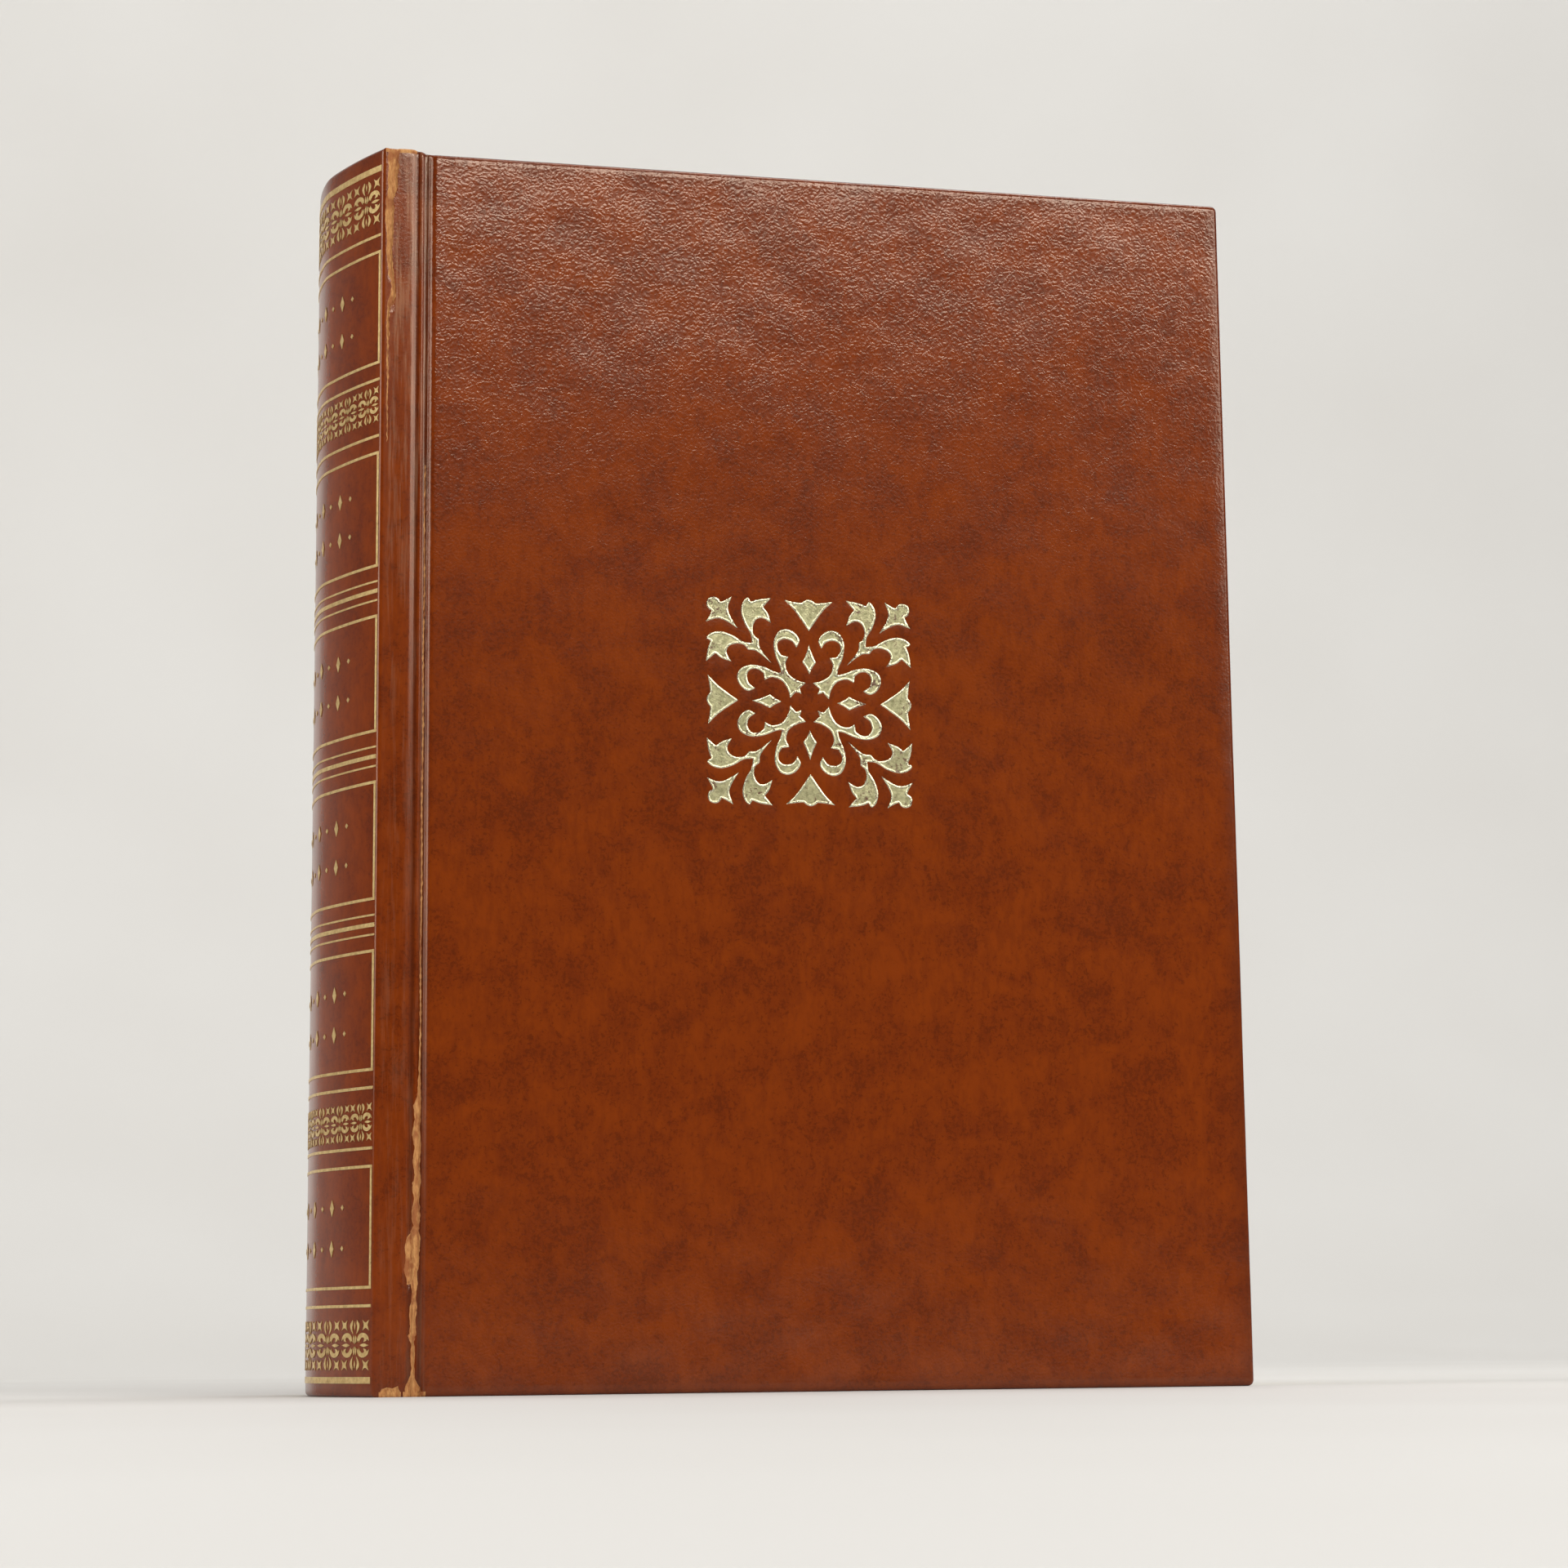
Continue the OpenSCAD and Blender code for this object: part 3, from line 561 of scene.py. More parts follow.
def smooth_outline(points, step):
    """A closed outline through points (x, y), or (x, y, 1) at a sharp corner, sampled about every step."""
    count = len(points)
    xy = np.array([p[:2] for p in points], float)
    sharp = [len(p) == 3 for p in points]
    made = []
    for i in range(count):
        p1, p2 = xy[i], xy[(i + 1) % count]
        before = 2 * p1 - p2 if sharp[i] else xy[i - 1]
        after = 2 * p2 - p1 if sharp[(i + 1) % count] else xy[(i + 2) % count]
        length = np.linalg.norm(p2 - p1)
        m1, m2 = (
            half * min(1.0, 1.3 * length / max(1e-9, np.linalg.norm(half)))
            for half in ((p2 - before) / 2, (after - p1) / 2))
        parts = max(1, round(length / step))
        for t in np.arange(parts) / parts:
            made.append(
                (2 * t**3 - 3 * t**2 + 1) * p1 + (t**3 - 2 * t**2 + t) * m1
                + (3 * t**2 - 2 * t**3) * p2 + (t**3 - t**2) * m2)
    return np.array(made)


REACH = 1.5


def inside_distance(points, outlines):
    """Distance of each point inside the nearest outline, negative outside; exact up to REACH away."""
    best = np.full(len(points), 1e9)
    inside = np.zeros(len(points), bool)
    for outline in outlines:
        low, high = outline.min(0) - REACH, outline.max(0) + REACH
        close = np.where(((points >= low) & (points <= high)).all(1))[0]
        a, b = outline, np.roll(outline, -1, 0)
        run = b - a
        rise = np.where(np.abs(run[:, 1]) < 1e-12, 1e-12, run[:, 1])
        for near in np.array_split(close, len(close) // 1000 + 1):
            px, py = points[near, 0][:, None], points[near, 1][:, None]
            along = ((px - a[:, 0]) * run[:, 0] + (py - a[:, 1]) * run[:, 1]) / (run**2).sum(1).clip(1e-12)
            along = np.clip(along, 0, 1)
            gap = np.hypot(px - a[:, 0] - along * run[:, 0], py - a[:, 1] - along * run[:, 1])
            if len(near):
                best[near] = np.minimum(best[near], gap.min(1))
            crossing = (a[:, 1] > py) != (b[:, 1] > py)
            left = px < run[:, 0] * (py - a[:, 1]) / rise + a[:, 0]
            inside[near] |= (crossing & left).sum(1) % 2 == 1
    return np.where(inside, best, -best)


# The square stamp of the front cover, drawn to half side 1, as one quadrant: scroll, leaves and corner are
# mirrored about its diagonal, crest and bud stand on its axis
def about_diagonal(half):
    """A half outline and its mirror image about the line x = y."""
    return half + [(p[1], p[0]) + p[2:] for p in reversed(half[1:-1])]


SCROLLS = about_diagonal([
    (0.08, 0.08, 1), (0.136, 0.098, 1), (0.19, 0.037, 1), (0.213, 0.12), (0.272, 0.205), (0.368, 0.235),
    (0.44, 0.205, 1), (0.451, 0.275, 1), (0.51, 0.31), (0.576, 0.305), (0.612, 0.25), (0.595, 0.17),
    (0.531, 0.123, 1), (0.605, 0.095), (0.675, 0.141), (0.71, 0.224), (0.677, 0.304), (0.576, 0.348),
    (0.448, 0.332), (0.345, 0.29), (0.275, 0.275, 1)])
LEAVES = about_diagonal([
    (0.375, 0.375, 1), (0.483, 0.515), (0.496, 0.6, 1), (0.54, 0.64), (0.552, 0.715), (0.52, 0.79),
    (0.455, 0.81), (0.373, 0.765, 1), (0.405, 0.86), (0.451, 0.92, 1), (0.371, 1.01, 1), (0.49, 0.993),
    (0.571, 0.965, 1), (0.6, 1.005), (0.648, 0.955), (0.664, 0.864), (0.63, 0.75), (0.575, 0.655),
    (0.56, 0.56, 1)])
CORNER = about_diagonal([
    (0.7, 0.7, 1), (0.768, 0.81), (0.793, 0.9), (0.757, 1.01, 1), (0.82, 0.972), (0.868, 0.952, 1),
    (0.892, 0.988), (0.936, 1.002), (0.984, 0.984)])
CREST = [
    (0.24, 0.995, 1), (0.15, 0.91), (0.075, 0.81), (0, 0.7, 1), (-0.075, 0.81), (-0.15, 0.91),
    (-0.24, 0.995, 1), (-0.15, 0.98), (-0.07, 0.972, 1), (-0.04, 0.995), (0, 1.008), (0.04, 0.995),
    (0.07, 0.972, 1), (0.15, 0.98)]
BUD = [
    (0, 0.275, 1), (0.03, 0.34), (0.066, 0.39, 1), (0.03, 0.47), (0, 0.56, 1), (-0.03, 0.47),
    (-0.066, 0.39, 1), (-0.03, 0.34)]
A_HINGE = ARCH_S + HINGE_X - RIDGE_X
A_GROOVE = ARCH_S + JOINT_W
A_FORE = ARCH_S + FORE_X - RIDGE_X - EDGE_ROLL
# The stamp's width, and its middle on the skin
STAMP_W, STAMP_A, STAMP_Z = 34.0, A_GROOVE + 62.5, 110.7


def stamp_outlines(step):
    """The whole stamp in millimetres on the skin: each shape turned to the four quadrants."""
    made = []
    for shape in (SCROLLS, LEAVES, CORNER, CREST, BUD):
        outline = smooth_outline(shape, step / (STAMP_W / 2))
        for quarter in range(4):
            c, s = round(math.cos(quarter * math.pi / 2)), round(math.sin(quarter * math.pi / 2))
            made.append(outline @ np.array([[c, s], [-s, c]]) * (STAMP_W / 2) + (STAMP_A, STAMP_Z))
    return made


# Tears and slit of the front joint, as distances from the hinge line or the groove and heights from the tail
def beside(line, points):
    """Points (distance from an upright line of the skin, height) as places on the skin."""
    return [(line + p[0], p[1]) for p in points]


TEARS = [
    beside(A_HINGE, [
        (-1.15, 205), (-0.8, 199.6), (-0.95, 198.2), (-0.75, 196.8), (-0.95, 195.2), (-0.8, 193.4),
        (-1.0, 192.2), (-1.25, 191.3), (-1.2, 189.7), (-1.35, 188.3), (-1.1, 186.5), (-1.0, 184.6),
        (-1.05, 182.9), (-0.95, 181.4), (-0.65, 180.2), (-0.7, 179.2), (-0.25, 178.2), (-0.15, 176.9),
        (-0.4, 175.6), (-0.75, 174.6), (-0.85, 172.9), (-0.95, 170.2), (-0.8, 167.5), (-0.9, 164.6),
        (-0.75, 161.2), (-0.85, 157.8), (-0.7, 154.6), (-0.72, 151.2), (-0.6, 151.4), (-0.55, 155.2),
        (-0.62, 158.8), (-0.5, 162.4), (-0.6, 166.2), (-0.45, 169.8), (-0.5, 172.9), (-0.2, 174.0),
        (0.3, 174.4), (0.55, 175.6), (0.45, 177.3), (0.2, 179.0), (0.0, 181.2), (-0.1, 183.4), (0.1, 185.6),
        (0.05, 187.8), (0.2, 189.9), (0.0, 191.4), (0.4, 192.5), (0.75, 193.7), (0.65, 195.2), (0.9, 196.9),
        (0.75, 198.2), (0.95, 199.4), (1.3, 205)]),
    beside(A_GROOVE, [
        (-0.52, 147.8), (-0.62, 139), (-0.5, 128), (-0.66, 117), (-0.58, 104), (-0.7, 92), (-0.6, 80),
        (-0.74, 68), (-0.62, 58), (-0.78, 50), (-1.0, 46.2), (-1.55, 44.8), (-1.4, 42.6), (-1.75, 40.2),
        (-1.35, 38.4), (-1.6, 36.2), (-1.3, 34.0), (-1.7, 32.1), (-1.4, 30.2), (-1.75, 28.0), (-1.5, 26.2),
        (-1.9, 25.0), (-2.5, 24.2), (-2.75, 22.8), (-2.6, 20.9), (-2.85, 19.4), (-2.55, 18.2), (-2.3, 17.1),
        (-1.75, 17.2), (-1.55, 15.8), (-1.75, 14.2), (-2.0, 12.6), (-1.8, 10.8), (-2.05, 9.3), (-1.6, 8.0),
        (-1.75, 6.2), (-1.55, 4.4), (-1.8, 3.0), (-2.5, 1.6), (-2.9, -5), (0.5, -5), (-0.2, 1.4),
        (-0.95, 2.6), (-1.15, 4.6), (-1.05, 6.6), (-1.2, 8.4), (-0.85, 9.9), (-1.0, 11.8), (-0.75, 13.6),
        (-0.95, 15.4), (-0.7, 17.2), (-0.8, 18.8), (-0.45, 20.2), (-0.5, 22.0), (-0.3, 23.8), (-0.55, 25.4),
        (-0.35, 28.0), (-0.55, 30.6), (-0.3, 33.2), (-0.5, 35.4), (-0.32, 38.2), (-0.5, 41.0),
        (-0.35, 44.4), (-0.48, 50), (-0.4, 58), (-0.5, 68), (-0.38, 80), (-0.48, 92), (-0.36, 104),
        (-0.46, 117), (-0.34, 128), (-0.42, 139), (-0.4, 147.8)]),
    beside(A_HINGE, [
        (-0.7, -5), (-0.5, 0.4), (-0.2, 1.25), (0.7, 1.5), (1.6, 1.35), (2.3, 1.7), (2.6, 0.9), (2.7, -5)]),
]
SLITS = [beside(A_HINGE, [
    (-0.62, 185.0), (-0.5, 183.4), (-0.42, 181.9), (-0.2, 181.9), (-0.22, 183.5), (-0.38, 185.1)])]


def lines_between(*stretches):
    """Rising places from stretches (from, to, step), each stretch closed by the next one's start."""
    made = [stretches[0][0]]
    for low, high, step in stretches:
        count = max(1, round((high - low) / step))
        made.extend(low + (high - low) * np.arange(1, count + 1) / count)
    return np.array(made)


def cut_sheet(columns, rows, outlines, rings):
    """Triangles of a sheet on a grid of columns and rows, cut along the outlines, with rings of points beside
    them. It gives the points (a, z), the triangles, and the edge's points from tail to fore-edge to head."""
    ci, ri = np.arange(len(columns)), np.arange(len(rows))

    def warp(p):
        return np.stack([np.interp(p[:, 0], columns, ci), np.interp(p[:, 1], rows, ri)], 1)

    def unwarp(p):
        return np.stack([np.interp(p[:, 0], ci, columns), np.interp(p[:, 1], ri, rows)], 1)

    # the sheet's own line, with round corners at the fore-edge
    low = np.array([columns[0], rows[0]])
    high = np.array([columns[-1], rows[-1]])
    corner = BOARD_CORNER - EDGE_ROLL

    def rounded(z, start):
        turns = [start + k * math.pi / 8 for k in range(5)]
        return [(columns[-1] - corner + corner * math.cos(t), z + corner * math.sin(t)) for t in turns]

    edge = [(a, rows[0]) for a in columns[:-1]] + rounded(rows[0] + corner, -math.pi / 2)
    edge += [(columns[-1], z) for z in rows[1:-1]] + rounded(rows[-1] - corner, 0.0)
    edge += [(a, rows[-1]) for a in columns[-2::-1]]
    edge = np.array(edge)
    left = np.array([(columns[0], z) for z in rows[-2:0:-1]])
    frame_line = np.concatenate([edge, left])
    points = [frame_line]
    links = [(i, (i + 1) % len(frame_line)) for i in range(len(frame_line))]
    total = len(frame_line)
    # outlines to cut along, kept just inside it
    margin = 0.02
    for outline in outlines:
        kept = np.clip(outline, low + margin, high - margin)
        step = np.linalg.norm(kept - np.roll(kept, 1, 0), axis=1) > 1e-4
        kept = kept[step]
        points.append(kept)
        links += [(total + i, total + (i + 1) % len(kept)) for i in range(len(kept))]
        total += len(kept)
    busy = np.concatenate(points)
    # rings of points beside the outlines
    for outline in outlines:
        ahead = np.roll(outline, -1, 0) - np.roll(outline, 1, 0)
        normal = np.stack([-ahead[:, 1], ahead[:, 0]], 1)
        normal /= np.maximum(np.linalg.norm(ahead, axis=1), 1e-9)[:, None]
        normal *= np.sign((outline[:, 0] * ahead[:, 1] - outline[:, 1] * ahead[:, 0]).sum())
        for ring in rings:
            moved = outline + normal * ring
            clear = np.abs(inside_distance(moved, outlines)) > abs(ring) * 0.75
            within = ((moved > low + 0.1) & (moved < high - 0.1)).all(1)
            points.append(moved[clear & within])
    ringed = np.concatenate(points)
    # grid points that don't crowd the outlines
    grid = np.array([(a, z) for a in columns[1:-1] for z in rows[1:-1]])
    warped_busy = warp(busy[len(frame_line):]) if len(outlines) else np.zeros((0, 2))
    keep = np.ones(len(grid), bool)
    warped_grid = warp(grid)
    for chunk in np.array_split(np.arange(len(warped_busy)), max(1, len(warped_busy) // 400)):
        if len(chunk):
            near = warped_busy[chunk]
            box = ((warped_grid > near.min(0) - 1) & (warped_grid < near.max(0) + 1)).all(1)
            index = np.where(box & keep)[0]
            if len(index):
                gap = np.linalg.norm(warped_grid[index][:, None] - near[None], axis=-1).min(1)
                keep[index[gap < 0.3]] = False
    # triangles between all of them, evenly shaped in rows and columns
    everything = warp(np.concatenate([ringed, grid[keep]]))
    result = delaunay_2d_cdt([Vector(p) for p in everything], links, [], 0, 1e-5)
    made = unwarp(np.array([tuple(v) for v in result[0]]))
    faces = np.array([f for f in result[2] if len(f) == 3])
    where = {}
    for new, olds in enumerate(result[3]):
        for old in olds:
            where.setdefault(old, new)
    border = [where[i] for i in range(len(edge))]
    centre = made[faces].mean(1)
    faces = faces[inside_distance(centre, [frame_line]) > 0]
    return made, faces, border


def mesh_object(name, points, faces, material_of=None, smooth=True):
    """A mesh object at the origin from points in millimetres."""
    mesh = bpy.data.meshes.new(name)
    mesh.from_pydata((np.asarray(points) * MM).tolist(), [], [list(map(int, f)) for f in faces])
    if material_of is not None:
        mesh.polygons.foreach_set("material_index", np.asarray(material_of, np.int32))
    mesh.polygons.foreach_set("use_smooth", [smooth] * len(mesh.polygons))
    mesh.validate()
    return in_scene(name, mesh)


def waves(points, size, seed):
    """Smooth noise from -1 to 1 at points, with features of about that size: a fixed sum of sine waves."""
    rng = np.random.default_rng(seed)
    total = np.zeros(len(points))
    for _ in range(14):
        way = rng.normal(size=points.shape[1])
        way *= rng.uniform(0.6, 1.6) / np.linalg.norm(way)
        total += np.sin(points @ way * (2 * math.pi / size) + rng.uniform(0, 2 * math.pi))
    return total / 5.0


# How deep the leather reaches at head and tail: over the spine card, doubled in the joint, round the board
SPINE_DEPTH, JOINT_DEPTH, BOARD_DEPTH = 1.76, 0.78, 3.76
# Its thickness where it is whole, rolled, run down an edge, turned and pasted inside
SKIN_T, ROLL_T, DOWN_T, TURN_T, PASTED_T = 0.5, 0.5, 0.4, 0.3, 0.22
TEAR_DEPTH, TEAR_SLOPE = 0.3, 0.16
STAMP_DEPTH, STAMP_SLOPE = 0.22, 0.3
# Stretches of the rolled edge that are torn bare: from, to, and whether at the head
BARE_CAPS = [(A_HINGE - 1.15, A_HINGE + 3.9, True), (A_HINGE - 0.7, A_HINGE + 2.7, False),
             (A_GROOVE - 2.9, A_GROOVE + 0.5, False)]
BARE_RINGS = 7


def edge_depth(a):
    """How deep the leather reaches at head and tail, at developed length a."""
    ridge = ARCH_S - GILT_S
    return np.interp(np.abs(a) - ARCH_S, [-ridge, 0.6 - ridge, JOINT_W - 0.1, JOINT_W + 0.9],
                     [SPINE_DEPTH, JOINT_DEPTH, JOINT_DEPTH, BOARD_DEPTH])


def wrap_border(flat, border, place, inward, lift):
    """Rings of points from the sheet's border over the edge, down its thickness and back along the inside."""
    a, z = flat[border, 0], flat[border, 1]
    low_z, high_z = flat[:, 1].min(), flat[:, 1].max()
    high_a = flat[:, 0].max()
    corner = BOARD_CORNER - EDGE_ROLL
    way = np.zeros((len(border), 3))
    way[:, 0] = np.maximum(0, a - (high_a - corner))
    way[:, 2] = np.where(z < low_z + corner, z - low_z - corner, np.maximum(0, z - high_z + corner))
    way /= np.linalg.norm(way, axis=1)[:, None]
    base = place[border]
    down = inward[border]
    depth = edge_depth(a)[:, None] - lift[border][:, None]
    roll = np.minimum(EDGE_ROLL, depth * 0.5)
    rings, thin = [], []
    # over the edge
    for turn in np.radians([18, 36, 54, 72, 90]):
        rings.append(base + way * EDGE_ROLL * math.sin(turn) + down * roll * (1 - math.cos(turn)))
        thin.append(ROLL_T)
    # down its thickness
    for share in (0.34, 0.67, 1.0):
        rings.append(base + way * EDGE_ROLL + down * (roll + (depth - 2 * roll) * share))
        thin.append(DOWN_T)
    # round the inner edge
    for turn in np.radians([30, 60, 90]):
        inset = way * (EDGE_ROLL - roll * (1 - math.cos(turn)))
        rings.append(base + inset + down * (depth - roll + roll * math.sin(turn)))
        thin.append(TURN_T)
    # back along the inside, down to the turn-in's width
    fore = RIDGE_X + high_a - ARCH_S + EDGE_ROLL
    for inset in (2.2, 4.2, TURN_IN):
        ring = base + way * EDGE_ROLL + down * depth
        flat_part = a > ARCH_S
        ring[:, 0] = np.where(flat_part, np.minimum(ring[:, 0], fore - inset), ring[:, 0])
        top = (base + way * EDGE_ROLL)[:, 2].max()
        ring[:, 2] = np.clip(ring[:, 2], inset, (BOOK_H if inset > 3 else top) - inset)
        rings.append(ring)
        thin.append(PASTED_T)
    return rings, thin


def closing_rim(triangles, count):
    """Faces from the open sides of a sheet to the same sides of its copy, whose points follow count later."""
    seen = {}
    for t in triangles:
        for u, v in ((t[0], t[1]), (t[1], t[2]), (t[2], t[0])):
            seen.setdefault((min(u, v), max(u, v)), []).append((u, v))
    rim = []
    for found in seen.values():
        if len(found) == 1:
            u, v = found[0]
            rim += [(v, u, u + count), (v, u + count, v + count)]
    return np.array(rim)


def leather_skin(name, columns, rows, outlines, rings, flip):
    """Closed skin of leather: cut sheet, rolled border and hidden side, at the front or flipped to the back.
    With it come the flat sheet, its triangles, places and inward ways, and the distances inside the stamp."""
    flat, faces, border = cut_sheet(columns, rows, outlines, rings)
    place, inward = on_skin(flat[:, 0], flat[:, 1])
    tear = inside_distance(flat, outlines[:len(TEARS)]) if outlines else np.full(len(flat), -1.0)
    stamp = inside_distance(flat, outlines[len(TEARS):]) if outlines else np.full(len(flat), -1.0)
    torn = TEAR_DEPTH * np.clip(tear / TEAR_SLOPE, 0, 1)
    lift = torn + 0.06 * np.clip(tear / 0.3, 0, 1) * waves(place, 1.1, 11)
    lift += STAMP_DEPTH * np.clip((stamp + 0.01) / STAMP_SLOPE, 0, 1)
    # the pasted face of the board sways by a few hundredths
    board = np.clip((flat[:, 0] - ARCH_S - JOINT_W - 1) / 4, 0, 1)
    sway = 0.05 + 0.05 * waves(place, 34.0, 3) + 0.03 * waves(place, 11.0, 4)
    lift += np.clip(sway, 0, 1) * board
    place = place + inward * lift[:, None]
    # the border's rings, joined to the sheet
    around, thin = wrap_border(flat, border, place, inward, lift)
    points = [place] + around
    thickness = [SKIN_T - torn]
    triangles = [faces]
    previous = np.array(border)
    total = len(place)
    n = len(border)
    for ring, value in zip(around, thin):
        current = total + np.arange(n)
        quads = [(previous[i], current[i], current[i + 1], previous[i + 1]) for i in range(n - 1)]
        triangles.append(np.array([(q[0], q[1], q[2]) for q in quads] + [(q[0], q[2], q[3]) for q in quads]))
        thickness.append(np.full(n, value))
        previous = current
        total += n
    points = np.concatenate(points)
    thickness = np.concatenate(thickness)
    triangles = np.concatenate(triangles)
    # outward triangles, and the hidden side below them
    first = points[triangles]
    normal_of = np.cross(first[:, 1] - first[:, 0], first[:, 2] - first[:, 0])
    middle = normal_of[: len(faces)].sum(0)
    if middle[1] > 0:
        triangles = triangles[:, ::-1]
        normal_of = -normal_of
    normal = np.zeros_like(points)
    for k in range(3):
        np.add.at(normal, triangles[:, k], normal_of)
    normal /= np.maximum(np.linalg.norm(normal, axis=1), 1e-12)[:, None]
    hidden = points - normal * thickness[:, None]
    everything = np.concatenate([triangles, triangles[:, ::-1] + total, closing_rim(triangles, total)])
    both = np.concatenate([points, hidden])
    if flip:
        both = both * (1, -1, 1)
        everything = everything[:, ::-1]
    # bare flesh side in the tears and where they run over the edge
    kind = np.zeros(len(everything), np.int32)
    if outlines:
        centres = flat[faces].mean(1)
        kind[: len(faces)] = inside_distance(centres, outlines[:len(TEARS)]) > 0
        ring_a, ring_z = (np.tile(flat[border[:-1], k], 2) for k in range(2))
        bare = np.zeros(len(ring_a), bool)
        for low, high, head in BARE_CAPS:
            bare |= (ring_a > low) & (ring_a < high) & ((ring_z > BOOK_H / 2) == head)
        for k in range(BARE_RINGS):
            start = len(faces) + k * len(ring_a)
            kind[start:start + len(ring_a)] = bare
    made = mesh_object(name, both, everything, kind)
    # masks for the material: rubbed edges, board, ridge strip, and painted shade in the joint's deepest
    # groove and in the slit
    x, z = flat[:, 0] - ARCH_S + RIDGE_X, flat[:, 1]
    margin = np.minimum(np.minimum(FORE_X - x, z), BOOK_H - z) - EDGE_ROLL
    on_board = np.clip((x - GROOVE_X + 0.2) / 0.9, 0, 1)
    values = {
        "rub": np.clip(1 - margin / 2.5, 0, 1), "board": on_board,
        "strip": np.clip((x - RIDGE_X) / 0.8, 0, 1) * (1 - on_board),
        # painted shade: darker where the joint's groove runs deepest
        "groove": np.clip((joint_depth(x) - 0.72) / 0.25, 0, 1) * (x > RIDGE_X)}
    if outlines:
        # painted shade: the slit is pressed in and painted dark all over, standing for its shaded inside
        values["groove"] += 3.0 * (inside_distance(flat, SLIT_LINES) > -0.02)
    for label, value in values.items():
        whole = np.concatenate([value, np.tile(value[border], len(around))])
        attribute = made.data.attributes.new(label, "FLOAT", "POINT")
        attribute.data.foreach_set("value", np.tile(whole, 2).astype(np.float32))
    return made, flat, faces, place, inward, stamp


TEAR_LINES = [smooth_outline([(p[0], p[1], 1) for p in tear], 0.35) for tear in TEARS]
for tear_line, seed in zip(TEAR_LINES, (21, 22, 23)):
    tear_line[:, 0] += 0.07 * waves(tear_line * (3, 1), 1.3, seed)
SLIT_LINES = [smooth_outline(slit, 0.2) for slit in SLITS]
STAMP_LINES = stamp_outlines(0.2)
front_columns = lines_between(
    (-ARCH_S, -GILT_S, 0.25), (-GILT_S, GILT_S, 0.85), (GILT_S, ARCH_S, 0.15), (ARCH_S, A_GROOVE + 1.6, 0.17),
    (A_GROOVE + 1.6, A_FORE, 2.2))
front_rows = lines_between(
    (EDGE_ROLL, 12, 0.8), (12, BOOK_H - 12, 1.7), (BOOK_H - 12, BOOK_H - EDGE_ROLL, 0.7))
front_skin, sheet_flat, sheet_faces, sheet_place, sheet_inward, sheet_stamp = leather_skin(
    "front_leather", front_columns, front_rows, TEAR_LINES + STAMP_LINES + SLIT_LINES, (-0.07, 0.31, 0.42),
    False)


def hide_grain_group():
    """Grain of the leather: height of pebbles and creases, cloudy tone, fine pores and upright streaks."""
    tree, given, out = new_tree(
        "hide_grain", "ShaderNodeTree",
        (("Vector", "Vector", None), ("Pebble Size", "Float", 0.7),
         ("Crease", "Float", 0.5), ("Cloud Size", "Float", 8.0)),
        (("Height", "Float"), ("Tone", "Float"), ("Pores", "Float"),
         ("Streaks", "Float")))
    place = vectors(tree, "MULTIPLY", given["Vector"], (1000, 1000, 1000))
    wobble = noise(tree, place, 0.45, 2.0, output="Color")
    moved = vectors(tree, "MULTIPLY_ADD", wobble, (1.6, 1.6, 1.6), place)
    frequency = maths(tree, "DIVIDE", 1.0, given["Pebble Size"])
    cells = put(tree, "ShaderNodeTexVoronoi", {"Vector": moved, "Scale": frequency, "Randomness": 1.0},
                feature="F1").outputs["Distance"]
    pebble = ramp(tree, cells, 0.75, 0.15)
    fine = noise(tree, moved, maths(tree, "MULTIPLY", frequency, 1.15), 1.0, 0.5)
    swell = noise(tree, place, 0.35, 2.0)
    ridge = maths(tree, "ABSOLUTE", maths(tree, "SUBTRACT", noise(tree, moved, 0.35, 1.0, 0.5), 0.5))
    rare = noise(tree, place, 0.09, 1.0)
    crease = maths(tree, "MULTIPLY", ramp(tree, ridge, 0.03, 0.0), ramp(tree, rare, 0.5, 0.62))
    crease = maths(tree, "MULTIPLY", crease, given["Crease"])
    height = maths(tree, "MULTIPLY_ADD", pebble, 0.8, maths(tree, "MULTIPLY", fine, 0.8))
    height = maths(tree, "MULTIPLY_ADD", swell, 0.9, height)
    height = maths(tree, "SUBTRACT", height, maths(tree, "MULTIPLY", crease, 0.6))
    feed(tree, out, {"Height": height})
    cloud = noise(tree, place, maths(tree, "DIVIDE", 1.0, given["Cloud Size"]), 6.0, 0.6, 0.4)
    feed(tree, out, {"Tone": ramp(tree, cloud, 0.33, 0.68)})
    pores = noise(tree, moved, 1.5, 3.0, 0.7)
    flecks = maths(tree, "ADD", pores, maths(tree, "MULTIPLY", maths(tree, "SUBTRACT", 0.5, cloud), 0.55))
    feed(tree, out, {"Pores": ramp(tree, flecks, 0.5, 0.68)})
    upright = vectors(tree, "MULTIPLY", place, (1.0, 1.0, 0.38))
    streak = noise(tree, upright, 0.85, 4.0, 0.65)
    feed(tree, out, {"Streaks": ramp(tree, streak, 0.42, 0.66)})
    return tree


grain = hide_grain_group()
leather, tree, shader, where = material(
    "leather_brown", Specular_IOR_Level=0.5, Specular_Tint=(1.0, 0.82, 0.66, 1.0))
hide = put(tree, "ShaderNodeGroup", {"Vector": where, "Pebble Size": 0.55, "Crease": 0.6, "Cloud Size": 7.0},
           node_tree=grain)
masks = {
    label: put(tree, "ShaderNodeAttribute", attribute_name=label).outputs["Fac"]
    for label in ("rub", "board", "strip", "groove")}
upper = ramp(tree, split(tree, where)["Z"], 0.1, 0.19)
colour = blend_colour(tree, hide.outputs["Tone"], srgb(114, 42, 3), srgb(129, 52, 5))
# The last layer is painted shade, darkest in the joint's deepest groove and over the whole slit.
colour = overlaid(
    tree, colour,
    (hide.outputs["Streaks"], 0.35, srgb(96, 33, 6)), (hide.outputs["Pores"], 0.5, srgb(82, 29, 3)),
    (masks["rub"], 0.35, srgb(78, 30, 10)), (masks["groove"], 0.55, srgb(60, 22, 8)))
